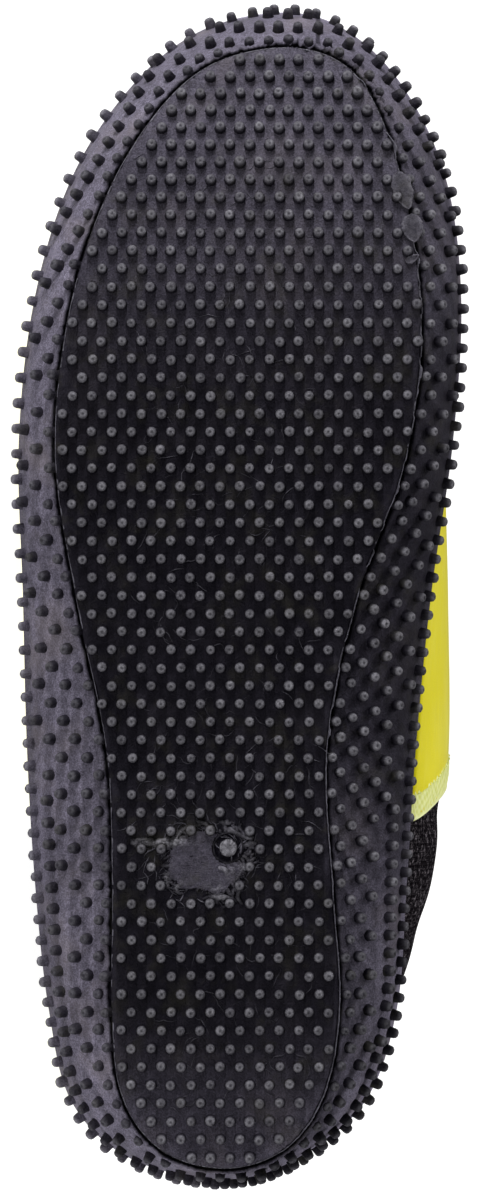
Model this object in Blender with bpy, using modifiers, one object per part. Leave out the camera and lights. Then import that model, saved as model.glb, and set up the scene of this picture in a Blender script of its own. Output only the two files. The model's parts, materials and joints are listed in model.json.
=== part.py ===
# Right water shoe, empty, lying on its lateral side.
# It is modelled standing in its own frame, heel at x = 0, toe along +X, medial side +Y,
# sole down, and one empty then lays it down on the edge of its sole and its upper.
# Every ring around the shoe has the same columns. A column's turn is its angle around the
# shoe: 0 at the back of the heel, 90 at the middle of the lateral side, 180 at the toe.

import math
from collections import namedtuple

import bmesh
import bpy
import numpy as np
from mathutils import Matrix, Vector

# Driving sizes, in metres
SHOE_LENGTH = 0.2821
BALL_WIDTH = 0.104
INSTEP_HEIGHT = 0.088
HEEL_HEIGHT = 0.078
PLATE_HEEL_SETBACK = 0.0051
PLATE_TOE_SETBACK = 0.011
SOLE_THICKNESS = 0.0042
PLATE_LIP_HEIGHT = 0.0011
PLATE_LIP_STEP = 0.0006
CUP_RIM_HEIGHT = 0.018
CUP_WALL_AT_FOOT = 0.0034
CUP_WALL_AT_RIM = 0.0020
TOE_SPRING = 0.0125
ARCH_RISE = 0.0015
HEEL_LIFT = 0.0015
UPPER_WALL = 0.0018
PANEL_THICKNESS = 0.0009
PATCH_THICKNESS = 0.0009
BINDING_RADIUS = 0.0017
BINDING_SEAT = 0.0007
INSOLE_THICKNESS = 0.0032
COLLAR_LENGTH = 0.113
COLLAR_WIDTH = 0.062
COLLAR_SETBACK = 0.009
COLLAR_DIP = 0.011
TOE_BOX_DEPTH = 0.0275
GIRTH_HEEL_SETBACK = 0.0028
GIRTH_TOE_SETBACK = 0.0085
NUB_PITCH = 0.00472
NUB_FOOT_RADIUS = 0.00142
NUB_TIP_RADIUS = 0.00115
NUB_HEIGHT = 0.0025
NUB_SUNK = 0.0007
GAP = 0.0003

# Places along the shoe, as shares of its length, and around it, in degrees
HEEL_FLAT_START = 0.07
HEEL_FLAT_END = 0.255
BALL_FLAT_START = 0.56
SPRING_START = 0.70
NUB_ROW_HEIGHT = 0.80
COLLAR_TURN = 90.0
PANEL_EDGE_TURN = 67.5
PATCH_EDGE_TURN = 45.0
CREST_EASE = 0.35
ARCH_BLEND_START = 50.0
ARCH_BLEND_END = 95.0

# Resolution of the faceted solids
COLUMNS_PER_STATION = 2
FLOOR_STRIPS = 4
NUB_SIDES = 6
BINDING_SIDES = 8

# Half-widths from the centreline, as shares of the ball width: the bottom plate, the cup's
# rim and the widest line of the upper, on the lateral and the medial side. rim_up is the
# rim's height as a share of its height at the waist. girth_up is where the widest line
# lies, as a share of the way from the rim to the top of the column.
Station = namedtuple(
    "Station", "turn plate_lat plate_med rim_lat rim_med girth_lat girth_med rim_up girth_up"
)
STATIONS = [
    Station(0, 0.020, -0.020, 0.020, -0.020, 0.020, -0.020, 1.45, 0.42),
    Station(15, 0.165, 0.115, 0.235, 0.144, 0.196, 0.120, 1.42, 0.42),
    Station(30, 0.254, 0.206, 0.373, 0.304, 0.335, 0.270, 1.30, 0.42),
    Station(45, 0.275, 0.241, 0.425, 0.377, 0.395, 0.378, 1.14, 0.42),
    Station(60, 0.274, 0.225, 0.455, 0.399, 0.425, 0.464, 1.02, 0.42),
    Station(75, 0.287, 0.212, 0.475, 0.421, 0.443, 0.494, 1.00, 0.38),
    Station(90, 0.353, 0.276, 0.484, 0.456, 0.450, 0.492, 1.00, 0.34),
    Station(105, 0.403, 0.391, 0.493, 0.506, 0.452, 0.482, 1.00, 0.30),
    Station(120, 0.377, 0.428, 0.457, 0.525, 0.420, 0.482, 1.02, 0.28),
    Station(135, 0.300, 0.397, 0.373, 0.491, 0.335, 0.442, 1.07, 0.28),
    Station(150, 0.188, 0.341, 0.238, 0.395, 0.198, 0.350, 1.14, 0.30),
    Station(165, 0.055, 0.258, 0.078, 0.267, 0.045, 0.235, 1.20, 0.32),
    Station(180, -0.120, 0.120, -0.120, 0.120, -0.120, 0.120, 1.22, 0.32),
]

# The crest of the vamp, from the front of the collar to the toe box: how far forward, as a
# share of that stretch, its height as a share of the instep height, and its shift to the
# medial side as a share of the ball width
Crest = namedtuple("Crest", "forward height shift")
CREST = [
    Crest(0.00, 1.00, 0.03),
    Crest(0.21, 0.895, 0.06),
    Crest(0.44, 0.760, 0.09),
    Crest(0.70, 0.635, 0.115),
    Crest(0.88, 0.577, 0.12),
    Crest(1.00, 0.562, 0.12),
]

# The cup's outer wall: how far out from plate edge to rim, and how high, both as shares
WallPoint = namedtuple("WallPoint", "out up")
CUP_WALL = [
    WallPoint(0.00, 0.10),
    WallPoint(0.34, 0.23),
    WallPoint(0.64, 0.42),
    WallPoint(0.86, 0.67),
    WallPoint(1.00, 1.00),
]
CUP_INNER_LEVELS = (0.0, 0.3, 0.65, 1.0)
BELOW_GIRTH_LEVELS = (0.16, 0.42, 0.70, 1.0)
ABOVE_GIRTH_LEVELS = (0.20, 0.40, 0.60, 0.80, 1.0)

# Densities that place the centre of mass, in kilograms a cubic metre
DENSITY = {
    "outsole": 1150.0,
    "upper": 500.0,
    "vamp_panel": 900.0,
    "heel_patch": 900.0,
    "collar_binding": 500.0,
    "insole": 250.0,
}

COLUMNS = 2 * (len(STATIONS) - 1) * COLUMNS_PER_STATION
HALF = COLUMNS // 2
TURN = np.arange(COLUMNS) * 360.0 / COLUMNS
FOLDED_TURN = np.minimum(TURN, 360.0 - TURN)
ALONG = (1.0 - np.cos(np.radians(FOLDED_TURN))) / 2.0


def clear_scene():
    for thing in list(bpy.data.objects):
        bpy.data.objects.remove(thing, do_unlink=True)


def smooth_loop(knots):
    """A closed Catmull-Rom curve through evenly spaced knots, read at every column."""
    knots = np.asarray(knots)
    place = np.arange(COLUMNS) / COLUMNS_PER_STATION
    base = np.floor(place).astype(int)
    t = place - base
    before, here, after, beyond = (knots[(base + k) % len(knots)] for k in (-1, 0, 1, 2))
    return 0.5 * (
        2 * here
        + (after - before) * t
        + (2 * before - 5 * here + 4 * after - beyond) * t**2
        + (3 * here - before - 3 * after + beyond) * t**3
    )


def around(lateral, medial):
    """One value for every column, from a station's lateral and medial columns."""
    outward = [getattr(row, lateral) for row in STATIONS]
    homeward = [getattr(row, medial) for row in reversed(STATIONS[1:-1])]
    return smooth_loop(outward + homeward)


def side_line(lateral, medial):
    """A closed line's y at every column, from its half-widths."""
    outward = [-getattr(row, lateral) for row in STATIONS]
    homeward = [getattr(row, medial) for row in reversed(STATIONS[1:-1])]
    return smooth_loop(outward + homeward) * BALL_WIDTH


def underside(x):
    """Height of the bottom plate: flat under heel and ball, raised at both ends and arch."""
    x = np.asarray(x, dtype=float)
    flat_start, flat_end, ball_start, spring_start = (
        share * SHOE_LENGTH
        for share in (HEEL_FLAT_START, HEEL_FLAT_END, BALL_FLAT_START, SPRING_START)
    )
    heel = HEEL_LIFT * np.clip(1.0 - x / flat_start, 0.0, 1.5) ** 2
    arch_share = np.clip((x - flat_end) / (ball_start - flat_end), 0.0, 1.0)
    arch = ARCH_RISE * np.sin(math.pi * arch_share) ** 2
    spring_run = SHOE_LENGTH - PLATE_TOE_SETBACK - spring_start
    toe = TOE_SPRING * np.clip((x - spring_start) / spring_run, 0.0, 1.5) ** 2
    return heel + arch + toe


PLATE_X = PLATE_HEEL_SETBACK + ALONG * (SHOE_LENGTH - PLATE_HEEL_SETBACK - PLATE_TOE_SETBACK)
PLATE_Y = side_line("plate_lat", "plate_med")
RIM_X = ALONG * SHOE_LENGTH
RIM_Y = side_line("rim_lat", "rim_med")
GIRTH_X = GIRTH_HEEL_SETBACK + ALONG * (SHOE_LENGTH - GIRTH_HEEL_SETBACK - GIRTH_TOE_SETBACK)
GIRTH_Y = side_line("girth_lat", "girth_med")
GIRTH_UP = around("girth_up", "girth_up")
RIM_RISE = around("rim_up", "rim_up") * CUP_RIM_HEIGHT


def moved_inward(ring, distance):
    """A ring moved inward in plan, square to its own line."""
    ahead = np.roll(ring, -1, axis=0) - np.roll(ring, 1, axis=0)
    outward = np.stack([ahead[:, 1], -ahead[:, 0], np.zeros(len(ring))], axis=1)
    outward /= np.linalg.norm(outward, axis=1)[:, None]
    return ring - outward * distance


def cup_ring(out, up):
    """A ring on the cup's outer wall: out from plate edge to rim, up from ground to rim."""
    x = PLATE_X + (RIM_X - PLATE_X) * out
    y = PLATE_Y + (RIM_Y - PLATE_Y) * out
    return np.stack([x, y, underside(x) + RIM_RISE * up], axis=1)


def cup_inner_ring(level, clearance=0.0):
    """A ring on the cup's inner wall, from its floor (level 0) to its rim (level 1)."""
    up = SOLE_THICKNESS / RIM_RISE
    up = up + (1.0 - up) * level
    out = np.interp(up, [p.up for p in CUP_WALL], [p.out for p in CUP_WALL])
    wall = CUP_WALL_AT_FOOT + (CUP_WALL_AT_RIM - CUP_WALL_AT_FOOT) * level
    outer = cup_ring(out, up)
    inner = moved_inward(outer, wall + clearance)
    inner[:, 2] += underside(inner[:, 0]) - underside(outer[:, 0])
    return inner


def collar_and_crest():
    """The top of every column: on the collar's edge, or on the crest in front of it."""
    turn = FOLDED_TURN
    side = np.where(TURN <= 180.0, -1.0, 1.0)
    swing = np.radians(np.minimum(turn / COLLAR_TURN, 1.0) * 180.0)
    share = (1.0 - np.cos(swing)) / 2.0
    collar_front = COLLAR_SETBACK + COLLAR_LENGTH
    crest_end = SHOE_LENGTH - TOE_BOX_DEPTH
    past = np.clip((turn - COLLAR_TURN) / (180.0 - COLLAR_TURN), 0.0, 1.0)
    forward = past * (1.0 + CREST_EASE - CREST_EASE * past)
    x = COLLAR_SETBACK + COLLAR_LENGTH * share + (crest_end - collar_front) * forward
    rows = [row.forward for row in CREST]
    shift = np.interp(forward, rows, [row.shift for row in CREST]) * BALL_WIDTH
    heel_shift = STATIONS[0].rim_med * BALL_WIDTH
    on_collar = turn < COLLAR_TURN
    shift = np.where(on_collar, heel_shift + (CREST[0].shift * BALL_WIDTH - heel_shift) * share, shift)
    width = np.where(on_collar, COLLAR_WIDTH / 2.0 * np.sin(swing), 0.0)
    collar_z = HEEL_HEIGHT + (INSTEP_HEIGHT - HEEL_HEIGHT) * share**2
    collar_z = collar_z - COLLAR_DIP * np.sin(swing) ** 2
    crest_z = np.interp(forward, rows, [row.height for row in CREST]) * INSTEP_HEIGHT
    return np.stack([x, shift + side * width, np.where(on_collar, collar_z, crest_z)], axis=1)


def upper_rings():
    """The upper's outer surface: rings from the cup's floor over rim and girth to the top."""
    rings = [cup_inner_ring(level, GAP) for level in CUP_INNER_LEVELS]
    rings[0][:, 2] += GAP
    rim = rings[-1]
    top = collar_and_crest()
    girth_z = rim[:, 2] + (top[:, 2] - rim[:, 2]) * GIRTH_UP
    girth = np.stack([GIRTH_X, GIRTH_Y, girth_z], axis=1)
    for level in BELOW_GIRTH_LEVELS:
        flat = math.sin(math.pi / 2 * level)
        rings.append(rim + (girth - rim) * np.array([flat, flat, level]))
    blend = np.clip(
        (FOLDED_TURN - ARCH_BLEND_START) / (ARCH_BLEND_END - ARCH_BLEND_START), 0.0, 1.0
    )
    for level in ABOVE_GIRTH_LEVELS:
        angle = math.pi / 2 * level
        flat = (1 - blend) * level**2 + blend * (1 - math.cos(angle))
        high = (1 - blend) * level + blend * math.sin(angle)
        rings.append(girth + (top - girth) * np.stack([flat, flat, high], axis=1))
    return rings


def welded_grid(rings):
    """Vertex numbers of stacked rings, where both sides share the crest's vertices."""
    number = np.arange(len(rings) * COLUMNS).reshape(len(rings), COLUMNS)
    for column in range(COLUMNS):
        if COLLAR_TURN <= FOLDED_TURN[column] and TURN[column] > 180.0:
            number[-1, column] = number[-1, COLUMNS - column]
    return number


def split_quads(quads):
    """Two triangles for each quad, split from its first corner, without collapsed ones."""
    faces = []
    for a, b, c, d in quads:
        faces += [(a, b, c), (a, c, d)]
    return [face for face in faces if len(set(face)) == 3]


def strip_faces(near, far, columns=range(COLUMNS), falling=False):
    """Triangles between two rings of vertex numbers. On a strip that falls from its near to
    its far ring, the split runs as on the rising strip of the piece that faces it."""
    quads = []
    for column in columns:
        beside = (column + 1) % COLUMNS
        if falling:
            quads.append((near[beside], far[beside], far[column], near[column]))
        else:
            quads.append((near[column], near[beside], far[beside], far[column]))
    return split_quads(quads)


def surface_normals(points, faces):
    """Area-weighted normals of a triangle surface at its points."""
    faces = np.asarray(faces)
    a, b, c = (points[faces[:, k]] for k in range(3))
    square = np.cross(b - a, c - a)
    normals = np.zeros_like(points)
    for k in range(3):
        np.add.at(normals, faces[:, k], square)
    length = np.linalg.norm(normals, axis=1)[:, None]
    return normals / np.where(length == 0.0, 1.0, length)


def floor_faces(points, ring, height_over_ground):
    """Closes a ring of vertex numbers with a ladder of strips, and adds its inner points."""
    rows = [[ring[0]] * (FLOOR_STRIPS + 1)]
    for column in range(1, HALF):
        near, far = ring[column], ring[COLUMNS - column]
        row = [near]
        for step in range(1, FLOOR_STRIPS):
            point = points[near] + (points[far] - points[near]) * step / FLOOR_STRIPS
            point = np.array([point[0], point[1], underside(point[0]) + height_over_ground])
            row.append(len(points))
            points.append(point)
        rows.append(row + [far])
    rows.append([ring[HALF]] * (FLOOR_STRIPS + 1))
    quads = []
    for row, ahead in zip(rows, rows[1:]):
        for step in range(FLOOR_STRIPS):
            quads.append((row[step], ahead[step], ahead[step + 1], row[step + 1]))
    return split_quads(quads)


def material(name, colour, roughness):
    made = bpy.data.materials.new(name)
    made.use_nodes = True
    shader = made.node_tree.nodes["Principled BSDF"]
    shader.inputs["Base Color"].default_value = (*colour, 1.0)
    shader.inputs["Roughness"].default_value = roughness
    shader.inputs["Metallic"].default_value = 0.0
    return made


def mesh_object(name, points, faces, finish, collection, closed=True):
    """An object from points and triangles. A closed one has its normals turned outward."""
    mesh = bpy.data.meshes.new(name)
    mesh.from_pydata([tuple(float(v) for v in point) for point in points], [], faces)
    if closed:
        work = bmesh.new()
        work.from_mesh(mesh)
        bmesh.ops.recalc_face_normals(work, faces=work.faces)
        work.to_mesh(mesh)
        work.free()
    mesh.shade_smooth()
    mesh.set_sharp_from_angle(angle=math.radians(50))
    mesh.materials.append(finish)
    thing = bpy.data.objects.new(name, mesh)
    collection.objects.link(thing)
    return thing


def without_loose(points, faces):
    """Only the points that the faces use, and the faces renumbered to them."""
    used = sorted({number for face in faces for number in face})
    place = {number: k for k, number in enumerate(used)}
    return [points[number] for number in used], [tuple(place[n] for n in face) for face in faces]


def add_wall(thing, thickness, outward):
    wall = thing.modifiers.new("wall", "SOLIDIFY")
    wall.thickness = thickness
    wall.offset = 1.0 if outward else -1.0
    wall.use_even_offset = False


def make_outsole(shoe, cutters):
    edge = cup_ring(0.0, 0.0)
    lip = edge + np.array([0.0, 0.0, PLATE_LIP_HEIGHT])
    rings = [edge, lip, moved_inward(lip, PLATE_LIP_STEP)]
    rings += [cup_ring(point.out, point.up) for point in CUP_WALL[1:]]
    rim = len(rings) - 1
    rings += [cup_inner_ring(level) for level in reversed(CUP_INNER_LEVELS)]
    points = [point for ring in rings for point in ring]
    number = np.arange(len(points)).reshape(len(rings), COLUMNS)
    faces = []
    for row in range(len(rings) - 1):
        faces += strip_faces(number[row], number[row + 1], falling=row > rim)
    faces += floor_faces(points, number[0], 0.0)
    faces += floor_faces(points, number[-1], SOLE_THICKNESS)
    finish = material("black_rubber", (0.030, 0.028, 0.038), 0.6)
    outsole = mesh_object("outsole", points, [tuple(map(int, f)) for f in faces], finish, shoe)
    nubs = make_nub_row(cutters, finish)
    join = outsole.modifiers.new("nub_row", "BOOLEAN")
    join.operation = "UNION"
    join.solver = "EXACT"
    join.object = nubs
    return outsole


def make_nub_row(cutters, finish):
    """The topmost row of round nubs, square to the cup's wall all the way around it."""
    up = NUB_ROW_HEIGHT
    out = np.interp(up, [p.up for p in CUP_WALL], [p.out for p in CUP_WALL])
    row = cup_ring(out, up)
    lower, higher = (cup_ring(point.out, point.up) for point in CUP_WALL[-2:])
    ahead = np.roll(row, -1, axis=0) - np.roll(row, 1, axis=0)
    outward = np.cross(ahead, higher - lower)
    outward /= np.linalg.norm(outward, axis=1)[:, None]
    step = np.linalg.norm(np.roll(row, -1, axis=0) - row, axis=1)
    walked = np.concatenate([[0.0], np.cumsum(step)])
    count = int(walked[-1] // NUB_PITCH)
    work = bmesh.new()
    for k in range(count):
        distance = (k + 0.5) * walked[-1] / count
        column = int(np.searchsorted(walked, distance) - 1)
        share = (distance - walked[column]) / step[column]
        beside = (column + 1) % COLUMNS
        foot = Vector(row[column] + (row[beside] - row[column]) * share)
        facet = Vector(np.cross(row[beside] - row[column], (higher - lower)[column])).normalized()
        rounded = Vector(outward[column] + (outward[beside] - outward[column]) * share)
        axis = (facet + rounded).normalized()
        middle = foot + axis * (NUB_HEIGHT - NUB_SUNK) / 2
        turn = Vector((0, 0, 1)).rotation_difference(axis).to_matrix().to_4x4()
        bmesh.ops.create_cone(
            work,
            cap_ends=True,
            segments=NUB_SIDES,
            radius1=NUB_FOOT_RADIUS,
            radius2=NUB_TIP_RADIUS,
            depth=NUB_HEIGHT + NUB_SUNK,
            matrix=Matrix.Translation(middle) @ turn,
        )
    mesh = bpy.data.meshes.new("nub_row")
    work.to_mesh(mesh)
    work.free()
    mesh.materials.append(finish)
    nubs = bpy.data.objects.new("nub_row", mesh)
    nubs.hide_render = True
    nubs.display_type = "WIRE"
    cutters.objects.link(nubs)
    return nubs


def upper_surface():
    """The upper's points, vertex numbers, faces and normals."""
    rings = upper_rings()
    number = welded_grid(rings)
    points = np.concatenate(rings)
    faces = []
    for lower, higher in zip(number, number[1:]):
        faces += strip_faces(lower, higher)
    return points, number, faces, surface_normals(points, faces)


def make_upper(shoe, points, faces):
    finish = material("black_mesh", (0.020, 0.020, 0.024), 0.85)
    used, renumbered = without_loose(points, faces)
    upper = mesh_object("upper", used, renumbered, finish, shoe, closed=False)
    add_wall(upper, UPPER_WALL, outward=False)
    return upper


def make_overlay(name, shoe, surface, in_columns, row_range, thickness, finish):
    """A piece laid over the upper, on the same facets, a small gap off it."""
    points, number, _, normals = surface
    columns = [
        column
        for column in range(COLUMNS)
        if in_columns(FOLDED_TURN[column]) and in_columns(FOLDED_TURN[(column + 1) % COLUMNS])
    ]
    faces = []
    for row in row_range:
        faces += strip_faces(number[row], number[row + 1], columns)
    used, renumbered = without_loose(points + normals * GAP, faces)
    overlay = mesh_object(name, used, renumbered, finish, shoe, closed=False)
    add_wall(overlay, thickness, outward=True)
    return overlay


def make_binding(shoe, surface):
    """A soft round bead on the collar's edge, carried around it as a closed tube."""
    points, number, _, normals = surface
    loop = [column for column in range(COLUMNS) if FOLDED_TURN[column] <= COLLAR_TURN]
    loop = sorted(loop, key=lambda column: (TURN[column] + 180.0) % 360.0)[:-1]
    edge = points[number[-1, loop]]
    outward = normals[number[-1, loop]]
    ahead = np.roll(edge, -1, axis=0) - np.roll(edge, 1, axis=0)
    away = np.cross(outward, ahead)
    away /= np.linalg.norm(away, axis=1)[:, None]
    centre = edge - outward * UPPER_WALL / 2 + away * (BINDING_RADIUS + BINDING_SEAT)
    angles = np.arange(BINDING_SIDES) * 2 * math.pi / BINDING_SIDES + math.pi / BINDING_SIDES
    tube = (
        centre[:, None, :]
        + BINDING_RADIUS * np.cos(angles)[None, :, None] * outward[:, None, :]
        + BINDING_RADIUS * np.sin(angles)[None, :, None] * away[:, None, :]
    )
    faces = []
    for here in range(len(loop)):
        ahead_ring = (here + 1) % len(loop)
        for side in range(BINDING_SIDES):
            beside = (side + 1) % BINDING_SIDES
            faces.append(
                (
                    here * BINDING_SIDES + side,
                    here * BINDING_SIDES + beside,
                    ahead_ring * BINDING_SIDES + beside,
                    ahead_ring * BINDING_SIDES + side,
                )
            )
    finish = material("black_binding", (0.018, 0.018, 0.020), 0.8)
    return mesh_object("collar_binding", tube.reshape(-1, 3), faces, finish, shoe)


def make_insole(shoe):
    """A flat sheet on the cup's floor, inside the upper's lower edge."""
    reach = CUP_WALL_AT_FOOT / 2 + UPPER_WALL + 2 * GAP
    foot = cup_inner_ring(0.0, reach)
    foot[:, 2] = underside(foot[:, 0]) + SOLE_THICKNESS + GAP
    head = foot.copy()
    head[:, 2] += INSOLE_THICKNESS
    points = list(foot) + list(head)
    number = np.arange(2 * COLUMNS).reshape(2, COLUMNS)
    faces = strip_faces(number[0], number[1])
    faces += floor_faces(points, number[0], SOLE_THICKNESS + GAP)
    faces += floor_faces(points, number[1], SOLE_THICKNESS + GAP + INSOLE_THICKNESS)
    finish = material("grey_foam", (0.10, 0.10, 0.11), 0.9)
    return mesh_object("insole", points, [tuple(map(int, f)) for f in faces], finish, shoe)


def evaluated_triangles(thing):
    """An object's triangles with its modifiers, in the shoe's own frame."""
    graph = bpy.context.evaluated_depsgraph_get()
    mesh = thing.evaluated_get(graph).to_mesh()
    mesh.calc_loop_triangles()
    points = np.array([vertex.co[:] for vertex in mesh.vertices])
    return points[np.array([list(triangle.vertices) for triangle in mesh.loop_triangles])]


def centre_of_mass(pieces):
    moment = np.zeros(3)
    mass = 0.0
    for piece in pieces:
        corners = evaluated_triangles(piece)
        volume = np.einsum("ij,ij->i", corners[:, 0], np.cross(corners[:, 1], corners[:, 2])) / 6
        moment += DENSITY[piece.name] * (volume[:, None] * corners.sum(axis=1) / 4).sum(axis=0)
        mass += DENSITY[piece.name] * volume.sum()
    return moment / mass


def lying_matrix(pieces):
    """The pose in which the shoe rests on its lateral side: the plane of its hull that
    lies nearest the centre of mass there is turned down, with the toe along -X."""
    middle = Vector(centre_of_mass(pieces))
    cloud = bmesh.new()
    for piece in pieces:
        for corner in evaluated_triangles(piece).reshape(-1, 3):
            cloud.verts.new(corner)
    bmesh.ops.remove_doubles(cloud, verts=cloud.verts, dist=1e-6)
    bmesh.ops.convex_hull(cloud, input=cloud.verts)
    lateral = Vector((0, -1, 0))
    facing = []
    for face in cloud.faces:
        outward = face.normal.copy()
        if outward.dot(face.calc_center_median() - middle) < 0:
            outward.negate()
        if outward.dot(lateral) > 0.7 and outward.z > 0:
            facing.append((outward.dot(face.calc_center_median() - middle), tuple(outward)))
    down = Vector(min(facing)[1])
    up = -down
    toe = Vector((1, 0, 0))
    back = (toe - up * toe.dot(up)).normalized()
    side = up.cross(-back)
    turn = Matrix((-back, side, up)).to_4x4()
    corners = [turn @ vertex.co for vertex in cloud.verts]
    cloud.free()
    low = [min(corner[axis] for corner in corners) for axis in range(3)]
    high = [max(corner[axis] for corner in corners) for axis in range(3)]
    shift = Vector((-(low[0] + high[0]) / 2, -(low[1] + high[1]) / 2, -low[2]))
    return Matrix.Translation(shift) @ turn


def main():
    clear_scene()
    shoe = bpy.data.collections.new("water_shoe")
    cutters = bpy.data.collections.new("cutters")
    for collection in (shoe, cutters):
        bpy.context.scene.collection.children.link(collection)
    surface = upper_surface()
    points, number, faces, _ = surface
    rim_row = len(CUP_INNER_LEVELS) - 1
    top_row = len(number) - 1
    yellow = material("yellow_panel", (0.78, 0.80, 0.03), 0.45)
    pale_yellow = material("pale_yellow", (0.80, 0.82, 0.30), 0.5)
    pieces = [
        make_outsole(shoe, cutters),
        make_upper(shoe, points, faces),
        make_overlay(
            "vamp_panel",
            shoe,
            surface,
            lambda turn: turn >= PANEL_EDGE_TURN,
            range(rim_row + 1, top_row),
            PANEL_THICKNESS,
            yellow,
        ),
        make_overlay(
            "heel_patch",
            shoe,
            surface,
            lambda turn: turn <= PATCH_EDGE_TURN,
            range(rim_row + 1, top_row - 1),
            PATCH_THICKNESS,
            pale_yellow,
        ),
        make_binding(shoe, surface),
        make_insole(shoe),
    ]
    bpy.context.view_layer.update()
    pose = bpy.data.objects.new("lying_pose", None)
    shoe.objects.link(pose)
    pose.matrix_world = lying_matrix(pieces)
    for thing in pieces + list(cutters.objects):
        thing.parent = pose


main()
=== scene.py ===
import json
import math

import bpy
import numpy as np
from mathutils import Matrix, Vector


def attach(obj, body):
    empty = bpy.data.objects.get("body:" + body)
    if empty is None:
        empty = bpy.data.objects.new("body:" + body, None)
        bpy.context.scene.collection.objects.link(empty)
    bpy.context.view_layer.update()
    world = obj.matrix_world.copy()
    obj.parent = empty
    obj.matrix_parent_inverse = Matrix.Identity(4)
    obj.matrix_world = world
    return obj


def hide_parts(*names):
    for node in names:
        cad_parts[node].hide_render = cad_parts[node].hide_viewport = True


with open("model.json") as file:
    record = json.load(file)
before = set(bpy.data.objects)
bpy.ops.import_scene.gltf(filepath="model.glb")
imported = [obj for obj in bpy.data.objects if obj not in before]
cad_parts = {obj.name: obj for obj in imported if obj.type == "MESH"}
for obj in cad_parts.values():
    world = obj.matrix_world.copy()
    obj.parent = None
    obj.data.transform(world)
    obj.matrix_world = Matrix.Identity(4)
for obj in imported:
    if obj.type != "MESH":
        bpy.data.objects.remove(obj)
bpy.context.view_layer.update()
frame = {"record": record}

# The shoe is worked out standing in its own frame, in metres: heel at x = 0, toe along +x,
# medial side +y, sole down. The flat face under the heel says how the shoe lies in the world.
heelFace = frame["record"]["mounts"][0]
heelFaceInShoe = np.array([0.046, 0.0, 0.0])
shoeUp = -np.array(heelFace["axis"], dtype=float)
shoeUp /= np.linalg.norm(shoeUp)
shoeAhead = np.cross([0.0, 1.0, 0.0], shoeUp)
shoeAhead /= np.linalg.norm(shoeAhead)
shoeMedial = np.cross(shoeUp, shoeAhead)
shoeAxes = np.stack([shoeAhead, shoeMedial, shoeUp], axis=1)
shoePlace = np.array(heelFace["pos_m"]) - shoeAxes @ heelFaceInShoe


def toWorld(points):
    return points @ shoeAxes.T + shoePlace


def say(stage):
    print("stage:", stage)


# Main sizes of the shoe, the same as the solids' own
shoe = dict(
    length=0.2821, ballWidth=0.104, instepHeight=0.088, heelHeight=0.078,
    plateHeelSetback=0.0051, plateToeSetback=0.011, soleThickness=0.0042,
    rimHeight=0.018, wallAtFoot=0.0034, wallAtRim=0.0020,
    toeSpring=0.0125, archRise=0.0015, heelLift=0.0015, upperWall=0.0018, gap=0.0003,
    collarLength=0.113, collarWidth=0.062, collarSetback=0.009, collarDip=0.011,
    toeBoxDepth=0.0275, girthHeelSetback=0.0028, girthToeSetback=0.0085,
    heelFlatStart=0.07, heelFlatEnd=0.255, ballFlatStart=0.56, springStart=0.70,
    crestEase=0.35, archBlendStart=50.0, archBlendEnd=95.0, collarTurn=90.0,
)

# Half-widths every 15 degrees of turn, from the heel over the lateral side to the toe, as
# shares of the ball width, with the rim's and the widest line's heights
stationColumns = ("plateLat", "plateMed", "rimLat", "rimMed", "girthLat", "girthMed", "rimUp", "girthUp")
stationRows = np.array([
    [0.020, -0.020, 0.020, -0.020, 0.020, -0.020, 1.45, 0.42],
    [0.165, 0.115, 0.235, 0.144, 0.196, 0.120, 1.42, 0.42],
    [0.254, 0.206, 0.373, 0.304, 0.335, 0.270, 1.30, 0.42],
    [0.275, 0.241, 0.425, 0.377, 0.395, 0.378, 1.14, 0.42],
    [0.274, 0.225, 0.455, 0.399, 0.425, 0.464, 1.02, 0.42],
    [0.287, 0.212, 0.475, 0.421, 0.443, 0.494, 1.00, 0.38],
    [0.353, 0.276, 0.484, 0.456, 0.450, 0.492, 1.00, 0.34],
    [0.403, 0.391, 0.493, 0.506, 0.452, 0.482, 1.00, 0.30],
    [0.377, 0.428, 0.457, 0.525, 0.420, 0.482, 1.02, 0.28],
    [0.300, 0.397, 0.373, 0.491, 0.335, 0.442, 1.07, 0.28],
    [0.188, 0.341, 0.238, 0.395, 0.198, 0.350, 1.14, 0.30],
    [0.055, 0.258, 0.078, 0.267, 0.045, 0.235, 1.20, 0.32],
    [-0.120, 0.120, -0.120, 0.120, -0.120, 0.120, 1.22, 0.32],
])
station = dict(zip(stationColumns, stationRows.T))
crestForward = np.array([0.0, 0.21, 0.44, 0.70, 0.88, 1.0])
crestHeight = np.array([1.0, 0.895, 0.760, 0.635, 0.577, 0.562])
crestShift = np.array([0.03, 0.06, 0.09, 0.115, 0.12, 0.12])
wallOut = np.array([0.0, 0.34, 0.64, 0.86, 1.0])
wallUp = np.array([0.10, 0.23, 0.42, 0.67, 1.0])


def smoothCurve(at, xs, ys):
    # cubic Hermite curve through the points, its slopes the harmonic mean of the chords'
    chord = np.diff(ys) / np.diff(xs)
    before, after = chord[:-1], chord[1:]
    inner = np.where(before * after > 0, 2 * before * after / (before + after + 1e-12), 0.0)
    slope = np.concatenate([[chord[0]], inner, [chord[-1]]])
    k = np.clip(np.searchsorted(xs, at, side="right") - 1, 0, len(xs) - 2)
    step = xs[k + 1] - xs[k]
    t = np.clip((at - xs[k]) / step, 0.0, 1.0)
    return (
        (1 + 2 * t) * (1 - t) ** 2 * ys[k] + t * (1 - t) ** 2 * step * slope[k]
        + t * t * (3 - 2 * t) * ys[k + 1] - t * t * (1 - t) * step * slope[k + 1]
    )


def smoothStep(low, high, at):
    t = np.clip((at - low) / (high - low), 0.0, 1.0)
    return t * t * (3 - 2 * t)


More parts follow.
